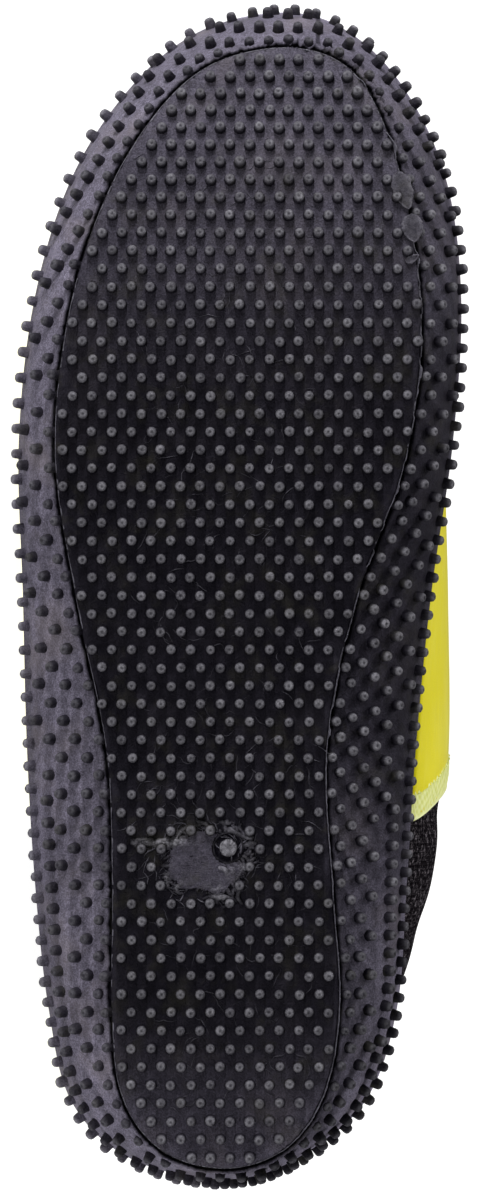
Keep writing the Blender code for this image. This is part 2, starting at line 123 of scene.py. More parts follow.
def loopValue(knots, turn):
    # closed Catmull-Rom curve through knots that are 15 degrees apart
    place = np.asarray(turn, dtype=float) / 15.0
    base = np.floor(place).astype(int)
    t = place - base
    a, b, c, d = (knots[(base + k) % len(knots)] for k in (-1, 0, 1, 2))
    return 0.5 * (2 * b + (c - a) * t + (2 * a - 5 * b + 4 * c - d) * t**2 + (3 * b - a - 3 * c + d) * t**3)


def sideLine(kind, turn):
    knots = np.concatenate([-station[kind + "Lat"], station[kind + "Med"][-2:0:-1]])
    return loopValue(knots, turn) * shoe["ballWidth"]


def roundLine(kind, turn):
    return loopValue(np.concatenate([station[kind], station[kind][-2:0:-1]]), turn)


def foldedTurn(turn):
    turn = np.mod(turn, 360.0)
    return np.minimum(turn, 360.0 - turn)


def underside(x):
    # flat under heel and ball, a parabola up at heel and toe, a low hump under the arch
    length = shoe["length"]
    heel = shoe["heelLift"] * np.clip(1 - x / (shoe["heelFlatStart"] * length), 0, 1.5) ** 2
    archRun = shoe["ballFlatStart"] - shoe["heelFlatEnd"]
    share = np.clip((x / length - shoe["heelFlatEnd"]) / archRun, 0, 1)
    springRun = length - shoe["plateToeSetback"] - shoe["springStart"] * length
    toe = shoe["toeSpring"] * np.clip((x - shoe["springStart"] * length) / springRun, 0, 1.5) ** 2
    return heel + shoe["archRise"] * np.sin(math.pi * share) ** 2 + toe


def turnAlong(turn, heelSetback, toeSetback):
    # how far along the shoe a turn lies, from one setback to the other by a cosine
    along = (1 - np.cos(np.radians(foldedTurn(turn)))) / 2
    return heelSetback + along * (shoe["length"] - heelSetback - toeSetback)


def cupPoint(turn, out, up):
    # straight blend from plate edge to rim in plan; the height is a share of the rim's
    along = (1 - np.cos(np.radians(foldedTurn(turn)))) / 2
    plateX = turnAlong(turn, shoe["plateHeelSetback"], shoe["plateToeSetback"])
    x = plateX + (along * shoe["length"] - plateX) * out
    plateY = sideLine("plate", turn)
    y = plateY + (sideLine("rim", turn) - plateY) * out
    return np.stack([x, y, underside(x) + roundLine("rimUp", turn) * shoe["rimHeight"] * up], axis=-1)


def movedInward(pointAt, turn, distance):
    # a line's points moved inward in plan, square to the line's own direction
    ahead = pointAt(turn + 0.5) - pointAt(turn - 0.5)
    outward = np.stack([ahead[..., 1], -ahead[..., 0], 0 * ahead[..., 0]], axis=-1)
    outward /= np.linalg.norm(outward, axis=-1, keepdims=True)
    here = pointAt(turn)
    moved = here - outward * np.asarray(distance)[..., None]
    moved[..., 2] += underside(moved[..., 0]) - underside(here[..., 0])
    return moved


def cupInside(turn, level, clearance=0.0):
    # the outer wall at the same height, moved inward by the wall's thickness
    up = shoe["soleThickness"] / (roundLine("rimUp", turn) * shoe["rimHeight"])
    up = up + (1 - up) * level
    out = smoothCurve(up, wallUp, wallOut)
    wall = shoe["wallAtFoot"] + (shoe["wallAtRim"] - shoe["wallAtFoot"]) * level
    return movedInward(lambda t: cupPoint(t, out, up), turn, wall + clearance + 0 * turn)


def topLine(turn):
    # an oval around the collar, then the crest of the vamp down to the toe box
    side = np.where(np.mod(turn, 360.0) <= 180.0, -1.0, 1.0)
    folded = foldedTurn(turn)
    swing = np.radians(np.minimum(folded / shoe["collarTurn"], 1.0) * 180.0)
    share = (1 - np.cos(swing)) / 2
    front = shoe["collarSetback"] + shoe["collarLength"]
    past = np.clip((folded - shoe["collarTurn"]) / (180.0 - shoe["collarTurn"]), 0, 1)
    forward = past * (1 + shoe["crestEase"] - shoe["crestEase"] * past)
    x = shoe["collarSetback"] + shoe["collarLength"] * share
    x = x + (shoe["length"] - shoe["toeBoxDepth"] - front) * forward
    onCollar = folded < shoe["collarTurn"]
    shift = smoothCurve(forward, crestForward, crestShift) * shoe["ballWidth"]
    heelShift = station["rimMed"][0] * shoe["ballWidth"]
    shift = np.where(onCollar, heelShift + (crestShift[0] * shoe["ballWidth"] - heelShift) * share, shift)
    width = np.where(onCollar, shoe["collarWidth"] / 2 * np.sin(swing), 0.0)
    collarZ = shoe["heelHeight"] + (shoe["instepHeight"] - shoe["heelHeight"]) * share**2
    collarZ = collarZ - shoe["collarDip"] * np.sin(swing) ** 2
    crestZ = smoothCurve(forward, crestForward, crestHeight) * shoe["instepHeight"]
    return np.stack([x, shift + side * width, np.where(onCollar, collarZ, crestZ)], axis=-1)


# Soft creases of the empty upper. Each runs across the shoe at x = at + skew * y + bow * y * y
# and fades out beyond its reach either side of its middle. A negative depth is a trough.
creases = [
    dict(at=0.176, middle=0.004, skew=0.10, bow=-4.0, reach=0.034, width=0.0042, depth=-0.0029),
    dict(at=0.187, middle=0.008, skew=0.16, bow=-4.5, reach=0.030, width=0.0046, depth=0.0018),
    dict(at=0.197, middle=0.012, skew=0.14, bow=-5.0, reach=0.026, width=0.0038, depth=-0.0021),
    dict(at=0.160, middle=-0.004, skew=-0.12, bow=-3.0, reach=0.028, width=0.0050, depth=-0.0016),
    dict(at=0.143, middle=0.010, skew=0.30, bow=-2.0, reach=0.024, width=0.0048, depth=0.0014),
    dict(at=0.108, middle=-0.034, skew=0.25, bow=0.0, reach=0.016, width=0.0050, depth=-0.0011),
    dict(at=0.098, middle=0.040, skew=-0.20, bow=0.0, reach=0.014, width=0.0048, depth=-0.0011),
    dict(at=0.062, middle=-0.036, skew=0.10, bow=0.0, reach=0.014, width=0.0060, depth=-0.0013),
    dict(at=0.056, middle=0.036, skew=0.10, bow=0.0, reach=0.014, width=0.0060, depth=-0.0010),
]


creaseAxis = np.array([0.0, 0.004, 0.030])  # the creases push straight away from this line


def creased(points, fade):
    # each point moves away from the line above by the sum of the creases' bells
    x, y = points[..., 0], points[..., 1]
    push = 0 * x
    for c in creases:
        off = x - (c["at"] + c["skew"] * y + c["bow"] * y * y)
        push = push + c["depth"] * np.exp(-(off / c["width"]) ** 2 - ((y - c["middle"]) / c["reach"]) ** 4)
    away = (points - creaseAxis) * np.array([0.0, 1.0, 1.0])
    away /= np.linalg.norm(away, axis=-1, keepdims=True) + 1e-9
    return points + away * (push * fade)[..., None]


def upperPoint(turn, level):
    # level 0 to 1: inside the cup; 1 to 2: rim to widest line; 2 to 3: a wall at the heel and
    # a quarter ellipse over the foot, up to the collar's edge or the crest
    rim = cupInside(turn, np.clip(level, 0, 1), shoe["gap"])
    rim[..., 2] += shoe["gap"] * np.clip(1 - level * 4, 0, 1)
    top = topLine(turn)
    girthX = turnAlong(turn, shoe["girthHeelSetback"], shoe["girthToeSetback"])
    rimTop = cupInside(turn, np.ones_like(level), shoe["gap"])
    girthZ = rimTop[..., 2] + (top[..., 2] - rimTop[..., 2]) * roundLine("girthUp", turn)
    girth = np.stack([girthX, sideLine("girth", turn), girthZ], axis=-1)
    low = np.clip(level - 1, 0, 1)
    flatLow = np.sin(math.pi / 2 * low)
    below = rimTop + (girth - rimTop) * np.stack([flatLow, flatLow, low], axis=-1)
    high = np.clip(level - 2, 0, 1)
    blendRun = shoe["archBlendEnd"] - shoe["archBlendStart"]
    blend = np.clip((foldedTurn(turn) - shoe["archBlendStart"]) / blendRun, 0, 1)
    flat = (1 - blend) * high**2 + blend * (1 - np.cos(math.pi / 2 * high))
    rise = (1 - blend) * high + blend * np.sin(math.pi / 2 * high)
    above = girth + (top - girth) * np.stack([flat, flat, rise], axis=-1)
    point = np.where((level <= 1)[..., None], rim, np.where((level <= 2)[..., None], below, above))
    return creased(point, smoothStep(1.0, 1.8, level))


def noiseLine(seed, count, waves):
    # a closed line of smooth random values near -1 to 1: a sum of sines with random phases
    rng = np.random.default_rng(seed)
    at = np.arange(count) * 2 * math.pi / count
    number = np.arange(1, waves + 1)
    phase = rng.random(waves) * 2 * math.pi
    weight = rng.normal(size=waves)
    line = (weight * np.sin(at[:, None] * number + phase)).sum(axis=1)
    return line / (np.abs(line).max() + 1e-9)


def gridFaces(number, closed=True):
    # quads between neighbouring rows and columns of vertex numbers
    beside = np.roll(number, -1, axis=1)
    quads = np.stack([number[:-1], beside[:-1], beside[1:], number[1:]], axis=-1)
    if not closed:
        quads = quads[:, :-1]
    return quads.reshape(-1, 4)


def compact(points, faces, *others):
    # drops the points that no face uses
    used = np.unique(faces)
    place = np.full(len(points), -1)
    place[used] = np.arange(len(used))
    return (points[used], place[faces]) + tuple(values[used] for values in others)


def surfaceNormals(points, faces):
    # each vertex takes the sum of its faces' areas as vectors
    a, b, c, d = (points[faces[:, k]] for k in range(4))
    square = np.cross(c - a, d - b)
    normals = np.zeros_like(points)
    for k in range(4):
        np.add.at(normals, faces[:, k], square)
    return normals / (np.linalg.norm(normals, axis=1, keepdims=True) + 1e-12)


def makePiece(name, points, faces, finishes, node, uv=None, marks=None, lowest=0.0):
    # points are in the shoe's frame; uv holds one pair for each corner of each face. Whatever
    # would sink into the floor is pressed flat at the height lowest
    mesh = bpy.data.meshes.new(name)
    placed = toWorld(np.asarray(points))
    placed[:, 2] = np.maximum(placed[:, 2], lowest)
    mesh.from_pydata(placed.tolist(), [], [list(map(int, f)) for f in faces])
    if uv is not None:
        layer = mesh.uv_layers.new(name="surface")
        layer.data.foreach_set("uv", np.asarray(uv, dtype=np.float32).ravel())
    for key, values in (marks or {}).items():
        mark = mesh.attributes.new(key, "FLOAT", "POINT")
        mark.data.foreach_set("value", np.asarray(values, dtype=np.float32))
    mesh.polygons.foreach_set("use_smooth", np.ones(len(mesh.polygons), dtype=bool))
    for finish in finishes:
        mesh.materials.append(finish)
    piece = bpy.data.objects.new(name, mesh)
    bpy.context.scene.collection.objects.link(piece)
    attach(piece, "root")
    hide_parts(node)
    return piece


def addWall(piece, thickness, outward=False, inside=0):
    wall = piece.modifiers.new("wall", "SOLIDIFY")
    wall.thickness = thickness
    wall.offset = 1.0 if outward else -1.0
    wall.use_even_offset = False
    wall.material_offset = inside
    return wall


# Shader values: arithmetic on one adds Math nodes, and make adds any other node
class Value:
    def __init__(self, tree, socket):
        self.tree, self.socket = tree, socket

    def make(self, kind, settings=None, values=None, out=0):
        node = self.tree.nodes.new(kind)
        for name, setting in (settings or {}).items():
            setattr(node, name, setting)
        for key, value in (values or {}).items():
            if isinstance(value, Value):
                self.tree.links.new(value.socket, node.inputs[key])
            else:
                node.inputs[key].default_value = value
        return Value(self.tree, node.outputs[out])

    def calc(self, operation, first, second=0.0):
        return self.make("ShaderNodeMath", {"operation": operation}, {0: first, 1: second})

    def __add__(self, other):
        return self.calc("ADD", self, other)

    def __radd__(self, other):
        return self.calc("ADD", other, self)

    def __sub__(self, other):
        return self.calc("SUBTRACT", self, other)

    def __rsub__(self, other):
        return self.calc("SUBTRACT", other, self)

    def __mul__(self, other):
        return self.calc("MULTIPLY", self, other)

    def __rmul__(self, other):
        return self.calc("MULTIPLY", other, self)

    def clamp(self):
        return self.make("ShaderNodeClamp", {}, {0: self})

    def sine(self):
        return self.calc("SINE", self)

    def span(self, low, high, fromLow=0.0, fromHigh=1.0):
        # maps the range fromLow to fromHigh onto low to high, and holds it there
        values = {0: self, 1: fromLow, 2: fromHigh, 3: low, 4: high}
        return self.make("ShaderNodeMapRange", {"clamp": True}, values)

    def tint(self, first, second):
        # mixes two colours by this value
        values = {0: self, 6: colour(first), 7: colour(second)}
        return self.make("ShaderNodeMix", {"data_type": "RGBA"}, values, out=2)

    def noise(self, scale, detail=4.0, roughness=0.55):
        values = {"Vector": self, "Scale": scale, "Detail": detail, "Roughness": roughness}
        return self.make("ShaderNodeTexNoise", {}, values)

    def cells(self, scale):
        return self.make("ShaderNodeTexVoronoi", {"feature": "F1"}, {"Vector": self, "Scale": scale})

    def stretched(self, scale):
        return self.make("ShaderNodeMapping", {}, {"Vector": self, "Scale": scale})

    def acrossAndUp(self):
        # the first two parts of a vector
        across = self.make("ShaderNodeSeparateXYZ", {}, {0: self})
        return across, Value(self.tree, across.socket.node.outputs[1])


def colour(shade):
    return shade if isinstance(shade, Value) else (*shade, 1.0)


class Finish:
    # one material: its own shader, the Object coordinates and the piece's marks
    def __init__(self, name, **constants):
        self.material = bpy.data.materials.new(name)
        self.material.use_nodes = True
        self.tree = self.material.node_tree
        self.shader = self.tree.nodes["Principled BSDF"]
        for key, value in constants.items():
            self.shader.inputs[key.replace("_", " ")].default_value = value
        self.place = Value(self.tree, self.tree.nodes.new("ShaderNodeTexCoord").outputs["Object"])

    def mark(self, name):
        return self.place.make("ShaderNodeAttribute", {"attribute_name": name}, {}, out="Fac")

    def uv(self):
        return self.place.make("ShaderNodeUVMap", {"uv_map": "surface"})

    def set(self, key, value):
        self.tree.links.new(value.socket, self.shader.inputs[key])

    def bump(self, *layers):
        # each layer is (height, distance in metres, strength)
        normal = None
        for height, distance, strength in layers:
            values = {"Height": height, "Distance": distance, "Strength": strength}
            if normal is not None:
                values["Normal"] = normal
            normal = self.place.make("ShaderNodeBump", {}, values)
        self.set("Normal", normal)


# colours, and the scales of the noises from the widest cloud to the finest speckle; the dust colour also
# serves painted highlights and shade, and the tip colour paints a highlight on the nubs' crowns
rubberLook = dict(
    black=(0.0020, 0.0016, 0.0036), dustAndPaintedLight=(0.258, 0.236, 0.318), tip=(0.230, 0.224, 0.250),
    warm=(0.150, 0.128, 0.130), moss=(0.038, 0.036, 0.024),
    cloudScale=55.0, warmScale=70.0, mossScale=130.0, smearScale=210.0, scuffScale=340.0,
    pitScale=520.0, grainScale=900.0, speckleScale=2600.0, pitDepth=0.00045, speckleDepth=0.00014,
)


def rubberFinish():
    # matt black rubber; dust and painted light and shade lie by the piece's own mark, broken up by noises
    # of four sizes, and the mark "tip" mixes in the paler tip colour as a painted highlight
    look = rubberLook
    finish = Finish("dustyRubberWithPaintedLight", Specular_IOR_Level=0.04)
    cloud = finish.place.noise(look["cloudScale"], 5.0, 0.62).span(0.0, 1.0, 0.30, 0.72)
    grain = finish.place.noise(look["grainScale"], 3.0, 0.7).span(0.0, 1.0, 0.32, 0.70)
    smear = finish.place.stretched((1.0, 0.35, 1.0)).noise(look["smearScale"], 6.0, 0.7)
    smear = smear.span(0.0, 1.0, 0.38, 0.75)
    speckle = finish.place.noise(look["speckleScale"], 2.0, 0.6).span(0.0, 1.0, 0.36, 0.64)
    dustAndPaintedLight = finish.mark("dustAndPaintedLight") * (cloud * 0.50 + 0.56) * (grain * 0.50 + 0.60) * (speckle * 0.70 + 0.62)
    scuff = finish.place.noise(look["scuffScale"], 6.0, 0.8).span(0.0, 1.0, 0.54, 0.66)
    dustAndPaintedLight = (dustAndPaintedLight * (1.0 - scuff * 0.45) + smear * smear * 0.05).clamp()
    rubber = dustAndPaintedLight.tint(look["black"], look["dustAndPaintedLight"])
    warm = finish.place.noise(look["warmScale"], 3.0).span(0.05, 0.6, 0.50, 0.70)
    rubber = (warm * finish.mark("dustAndPaintedLight")).clamp().tint(rubber, look["warm"])
    moss = finish.place.noise(look["mossScale"], 5.0, 0.65).span(0.0, 0.35, 0.52, 0.70)
    rubber = (moss * (1.0 - finish.mark("dustAndPaintedLight"))).clamp().tint(rubber, look["moss"])
    # painted highlight: the tip colour where the mark "tip" is high, on the nubs' crowns above all
    paleTipAndHighlight = (finish.mark("tip") * (grain * 0.9 + 0.35)).clamp()
    finish.set("Base Color", paleTipAndHighlight.tint(rubber, look["tip"]))
    finish.set("Roughness", (dustAndPaintedLight * 0.22 + grain * 0.10 + 0.50).clamp())
    pits = finish.place.noise(look["pitScale"], 5.0, 0.65)
    finish.bump((pits, look["pitDepth"], 0.7), (speckle, look["speckleDepth"], 0.6))
    return finish.material


tornLook = dict(grainScale=700.0, grainDepth=0.0002)


def flashFinish(dark, light):
    # torn rubber edges, a little glossier and paler than the plate
    finish = Finish("rubberFlash", Specular_IOR_Level=0.35)
    grain = finish.place.noise(tornLook["grainScale"], 4.0, 0.7).span(0.0, 1.0, 0.35, 0.70)
    finish.set("Base Color", grain.tint(dark, light))
    finish.set("Roughness", (grain * 0.2 + 0.62).clamp())
    finish.bump((grain, tornLook["grainDepth"], 0.6))
    return finish.material


knitLook = dict(
    rowShare=0.62, holeEdge=0.22, yarnsAcross=4.0, yarnsUp=3.1, fuzzScale=850.0, lintScale=900.0,
    holeDepth=0.0004, yarnDepth=0.00012, fuzzDepth=0.00012,
)


def knitFinish(name, dark, light, pitch, hole):
    # warp-knit mesh: two crossed waves on the surface's own UV in metres leave oval holes,
    # a finer crossed wave makes the yarns between them, and pale lint lies on top
    look = knitLook
    finish = Finish(name, Specular_IOR_Level=0.0)
    across, up = finish.uv().acrossAndUp()
    wave = 2 * math.pi / pitch
    holes = (across * wave).sine() * (up * (wave * look["rowShare"])).sine()
    ring = (holes * holes).span(0.0, 1.0, hole, hole + look["holeEdge"])
    sway = (up * (wave * look["yarnsUp"])).sine() * 1.5
    yarn = (across * (wave * look["yarnsAcross"]) + sway).sine() * 0.5 + 0.5
    fuzz = finish.place.noise(look["fuzzScale"], 4.0, 0.75)
    lint = finish.place.noise(look["lintScale"], 4.0, 0.75).span(0.0, 1.0, 0.52, 0.68)
    knit = (1.0 - ring) * (yarn * 0.22 + 0.03) * (lint * 1.6 + 0.10)
    shade = (knit + fuzz.span(0.0, 0.9, 0.55, 0.74)).clamp()
    finish.set("Base Color", shade.tint(dark, light))
    finish.set("Roughness", (0.95 - yarn * 0.2).clamp())
    finish.bump(
        (1.0 - ring, look["holeDepth"], 0.8), (yarn, look["yarnDepth"], 0.6),
        (fuzz, look["fuzzDepth"], 0.4),
    )
    return finish.material


clothLook = dict(
    cloudScale=38.0, streakScale=620.0, grimeScale=160.0, weaveScale=4200.0, grime=(0.30, 0.27, 0.06),
    cloudDepth=0.0006, streakDepth=0.00012, threadDepth=0.00008,
)


def clothFinish(name, deep, pale, gloss):
    # coated cloth: a fine weave on Object coordinates, paler where the mark "edge" is high, which paints
    # highlights on the vamp and the hem
    look = clothLook
    finish = Finish(name, Specular_IOR_Level=0.05, Sheen_Weight=0.12, Sheen_Roughness=0.5)
    cloud = finish.place.noise(look["cloudScale"], 4.0, 0.6).span(0.0, 1.0, 0.32, 0.70)
    streak = finish.place.stretched((0.10, 1.0, 1.0)).noise(look["streakScale"], 3.0, 0.6)
    streak = streak.span(0.0, 1.0, 0.35, 0.68)
    grime = finish.place.noise(look["grimeScale"], 6.0, 0.72).span(0.0, 1.0, 0.62, 0.80)
    paleAndHighlight = (finish.mark("edge") + cloud * 0.14 + streak * 0.16 - 0.12).clamp()
    shade = paleAndHighlight.tint(deep, pale)
    finish.set("Base Color", (grime * 0.22).clamp().tint(shade, look["grime"]))
    finish.set("Roughness", (gloss + streak * 0.10 + grime * 0.2).clamp())
    threads = (finish.place.cells(look["weaveScale"]) * 2.0).clamp()
    finish.bump(
        (cloud, look["cloudDepth"], 0.25), (streak, look["streakDepth"], 0.4),
        (threads, look["threadDepth"], 0.5),
    )
    return finish.material


feltLook = dict(cloudScale=60.0, clumpShare=0.6, hairDepth=0.00022, clumpDepth=0.00015)


def feltFinish(name, dark, light, hairScale):
    # short-haired cloth or foam skin: fine hairs, and clumps a little wider than they are
    look = feltLook
    finish = Finish(name, Specular_IOR_Level=0.2)
    cloud = finish.place.noise(look["cloudScale"], 4.0, 0.6).span(0.0, 1.0, 0.3, 0.7)
    hair = finish.place.noise(hairScale, 4.0, 0.8).span(0.0, 1.0, 0.3, 0.7)
    finish.set("Base Color", (cloud * 0.45 + hair * 0.55).clamp().tint(dark, light))
    finish.set("Roughness", (0.98 - hair * 0.15).clamp())
    clumps = finish.place.cells(hairScale * look["clumpShare"])
    finish.bump((hair, look["hairDepth"], 0.7), (clumps, look["clumpDepth"], 0.5))
    return finish.material


finishes = dict(
    rubber=rubberFinish(),
    flash=flashFinish((0.018, 0.016, 0.024), (0.105, 0.100, 0.125)),
    mesh=knitFinish("blackMesh", (0.0050, 0.0040, 0.0052), (0.340, 0.300, 0.335), 0.0019, 0.26),
    lining=feltFinish("darkLining", (0.010, 0.010, 0.012), (0.040, 0.040, 0.046), 1800.0),
    yellow=clothFinish("yellowCloth", (0.86, 0.76, 0.002), (0.99, 0.95, 0.30), 0.36),
    paleYellow=clothFinish("paleYellowCloth", (0.66, 0.70, 0.080), (0.97, 1.00, 0.50), 0.44),
    binding=knitFinish("bindingBand", (0.004, 0.004, 0.005), (0.038, 0.038, 0.044), 0.0011, 0.62),
    thread=feltFinish("blackThread", (0.010, 0.010, 0.012), (0.050, 0.050, 0.056), 3000.0),
    limeThread=feltFinish("limeThread", (0.72, 0.76, 0.12), (0.96, 0.98, 0.52), 3000.0),
    insole=feltFinish("insoleCloth", (0.022, 0.022, 0.026), (0.085, 0.085, 0.094), 1400.0),
)
say("finishes made")

outsoleGrid = dict(columns=960, strips=22, wallRows=16, insideRows=7, rimRound=0.0006, wallStart=0.15)
# the parting line's raggedness: fine, swaying, and the coarser one of the lateral side
partingLine = dict(
    fine=0.00030, fineWaves=440, sway=0.00014, swayWaves=60, lateral=0.00024, lateralWaves=150,
    toeTurn=188.0, toeSpan=24.0, toeRougher=0.9,
)
# the crack up the toe, painted dark inside as its shade; it fades out between the two levels of the wall
crackLook = dict(
    turn=187.5, width=0.55, depth=0.00055, wander=1.6, fullLevel=0.55, endLevel=0.72,
    paintedShadeRows=11, dustAndPaintedLight=0.25,
)
# from the plate's outline outwards over the groove, painted black as its shade, to the wall's foot: how far
# out, how far up, how much of it counts as wall, and how much of the dust stays on it, little in the groove
grooveColumns = ("out", "up", "share", "dustLeftGrooveShaded")
grooveRows = [
    [-0.00110, 0.00000, 0.00, 1.00],
    [-0.00040, -0.00010, 0.02, 0.80],
    [-0.00002, 0.00030, 0.03, 0.02],
    [0.00008, 0.00260, 0.03, 0.00],
    [0.00044, 0.00270, 0.03, 0.00],
    [0.00054, 0.00150, 0.05, 0.05],
    [0.00112, 0.00170, 0.07, 0.80],
]
lipRows = [1, 6]
# dust along the shoe on either wall, what the plate adds, and the painted highlight that the medial rim
# adds
dustAndHighlightLook = dict(
    medialX=[0.0, 0.035, 0.075, 0.105, 0.185, 0.215, 0.250, 0.2805],
    medial=[0.50, 0.46, 0.26, 0.10, 0.08, 0.22, 0.42, 0.50],
    lateralX=[0.0, 0.03, 0.09, 0.20, 0.25, 0.2805],
    lateral=[0.60, 0.68, 0.55, 0.68, 0.57, 0.51],
    plate=0.033, plateToe=0.32, plateHeel=0.24, rim=0.24, rimToeHighlight=0.55, wallFrom=0.04,
)


def dustAndRimHighlightOn(points, wallShare):
    # paler on the lateral wall, the toe and the back of the heel, darker at the waist, and at the heel
    # paler up the medial wall; a painted highlight runs along the medial rim, strongest toward the toe
    look = dustAndHighlightLook
    x, y = points[:, 0], points[:, 1]
    onPlate = look["plate"] + look["plateToe"] * smoothStep(0.165, 0.262, x) ** 1.4
    onPlate = onPlate + look["plateHeel"] * smoothStep(0.050, 0.0, x)
    medial = np.interp(x, look["medialX"], look["medial"])
    lateral = np.interp(x, look["lateralX"], look["lateral"])
    medial = medial * (1 + (2.7 * wallShare - 0.50) * smoothStep(0.085, 0.050, x))
    # painted highlight along the medial rim, stronger toward the toe
    towardRim = smoothStep(0.72, 1.0, wallShare)
    medial = medial + (look["rim"] + look["rimToeHighlight"] * smoothStep(0.17, 0.22, x)) * towardRim
    onWall = np.where(y < 0, lateral, medial)
    mix = smoothStep(-0.012, 0.022, y) * smoothStep(0.255, 0.275, x)
    onWall = onWall * (1 - mix) + 0.5 * (lateral + medial) * mix
    return np.where(wallShare > look["wallFrom"], onWall, onPlate)


def ladder(points, shares, ring, heightAt, strips):
    # closes a ring: cross rungs join its two sides, and their inner points take heightAt(x)
    half = len(ring) // 2
    near, far = ring[1:half], ring[:half:-1]
    step = np.arange(1, strips) / strips
    inner = points[near][:, None] + (points[far] - points[near])[:, None] * step[None, :, None]
    inner[..., 2] = heightAt(inner[..., 0])
    start = len(points)
    number = start + np.arange(inner.shape[0] * inner.shape[1]).reshape(inner.shape[:2])
    rows = np.concatenate([near[:, None], number, far[:, None]], axis=1)
    faces = [list(f) for f in gridFaces(rows, closed=False)[:, ::-1]]
    for row, tip in ((rows[0], ring[0]), (rows[-1], ring[half])):
        pairs = np.stack([row[:-1], row[1:]], axis=1)
        if tip == ring[half]:
            pairs = pairs[:, ::-1]
        faces += [[int(tip), int(a), int(b)] for a, b in pairs]
    points = np.concatenate([points, inner.reshape(-1, 3)])
    shares = np.concatenate([shares, np.zeros(inner.shape[0] * inner.shape[1])])
    return points, shares, faces


def lateralSide(turn):
    # 1 along the lateral side, fading out toward heel and toe
    return smoothStep(14.0, 36.0, turn) * smoothStep(168.0, 150.0, turn)


def plateEdge(turn):
    return cupPoint(turn, 0 * turn, 0 * turn)


def grooveRings(turn, nearToe):
    # the plate's outline moved outward row by row, with ragged and, at the toe, torn edges
    look = partingLine
    rough = look["fine"] * noiseLine(11, len(turn), look["fineWaves"])
    rough = rough + look["sway"] * noiseLine(12, len(turn), look["swayWaves"])
    rough = rough + look["lateral"] * lateralSide(turn) * noiseLine(18, len(turn), look["lateralWaves"])
    torn = 0.25 + 0.25 * noiseLine(16, len(turn), 90)
    torn = torn + nearToe * (0.10 + 1.1 * noiseLine(15, len(turn), 330))
    torn = np.clip(torn, -0.35, 1.6)
    rings = []
    for row in grooveRows:
        groove = dict(zip(grooveColumns, row))
        ragged = rough * (1 + look["toeRougher"] * nearToe) * (groove["out"] > -0.001)
        wide = 1 + (groove["out"] > 0.0002) * torn
        ring = movedInward(plateEdge, turn, -groove["out"] * wide + ragged)
        ring[:, 2] += groove["up"]
        rings.append(ring)
    return rings


def wallRings(turn):
    # rings up the outer face, whose share grows to 1, then over the rim and down the inside
    grid = outsoleGrid
    flat = np.zeros_like(turn)
    rings, shares = [], []
    wander = crackLook["wander"] * noiseLine(14, grid["wallRows"] + 1, 6)
    for k in range(1, grid["wallRows"] + 1):
        level = k / grid["wallRows"]
        up = grid["wallStart"] + (1 - grid["wallStart"]) * level
        crack = np.exp(-((turn - crackLook["turn"] - wander[k]) / crackLook["width"]) ** 2)
        crack = crack * smoothStep(crackLook["endLevel"], crackLook["fullLevel"], level)
        out = smoothCurve(up, wallUp, wallOut)
        ring = movedInward(lambda t: cupPoint(t, out, up), turn, crackLook["depth"] * crack)
        if k == grid["wallRows"]:
            ring[:, 2] -= grid["rimRound"]
        rings.append(ring)
        shares.append(0.09 + 0.91 * level)
    for inset in (grid["rimRound"] * 0.5, shoe["wallAtRim"] - grid["rimRound"]):
        rings.append(movedInward(lambda t: cupPoint(t, flat + 1, flat + 1), turn, inset + flat))
        shares.append(1.0)
    for k in range(grid["insideRows"]):
        ring = cupInside(turn, 1 - k / (grid["insideRows"] - 1) + flat)
        if k == 0:
            ring[:, 2] -= grid["rimRound"]
        rings.append(ring)
        shares.append(0.6)
    return rings, shares


def floorTop(x):
    return underside(x) + shoe["soleThickness"]


def makeOutsoleShell():
    # groove and wall rings make the sides, and two ladders close the plate and the floor
    grid = outsoleGrid
    turn = np.arange(grid["columns"]) * 360.0 / grid["columns"]
    nearToe = np.exp(-((turn - partingLine["toeTurn"]) / partingLine["toeSpan"]) ** 2)
    wall, wallShares = wallRings(turn)
    rings = grooveRings(turn, nearToe) + wall
    number = np.arange(len(rings) * len(turn)).reshape(len(rings), len(turn))
    points = np.concatenate(rings)
    groove = dict(zip(grooveColumns, np.array(grooveRows).T))
    shares = np.repeat(groove["share"].tolist() + wallShares, len(turn))
    faces = [list(f) for f in gridFaces(number)]
    points, shares, more = ladder(points, shares, number[0], underside, grid["strips"])
    faces += [f[::-1] for f in more]
    points, shares, more = ladder(points, shares, number[-1], floorTop, grid["strips"])
    faces += more
    dustAndPaintedLight = dustAndRimHighlightOn(points, shares)
    # painted shade: the groove keeps almost no dust, and near the toe the lip rows lose it in patches, so
    # the parting line shows black and torn
    left = groove["dustLeftGrooveShaded"][:, None] + 0 * turn
    left[lipRows] -= 0.75 * nearToe * smoothStep(0.10, 0.30, noiseLine(17, len(turn), 300))
    first, cracked = left.size, crackLook["paintedShadeRows"] * len(turn)
    dustAndPaintedLight[:first] *= left.ravel()
    # painted shade: the crack's rows keep only a quarter of their dust
    inCrack = np.abs(turn - crackLook["turn"]) < 1.2 * crackLook["width"]
    dustAndPaintedLight[first:first + cracked] *= np.tile(np.where(inCrack, crackLook["dustAndPaintedLight"], 1.0), crackLook["paintedShadeRows"])
    marks = dict(dustAndPaintedLight=dustAndPaintedLight, tip=np.zeros(len(points)))
    makePiece("outsoleShell", points, faces, [finishes["rubber"]], "outsole", marks=marks)


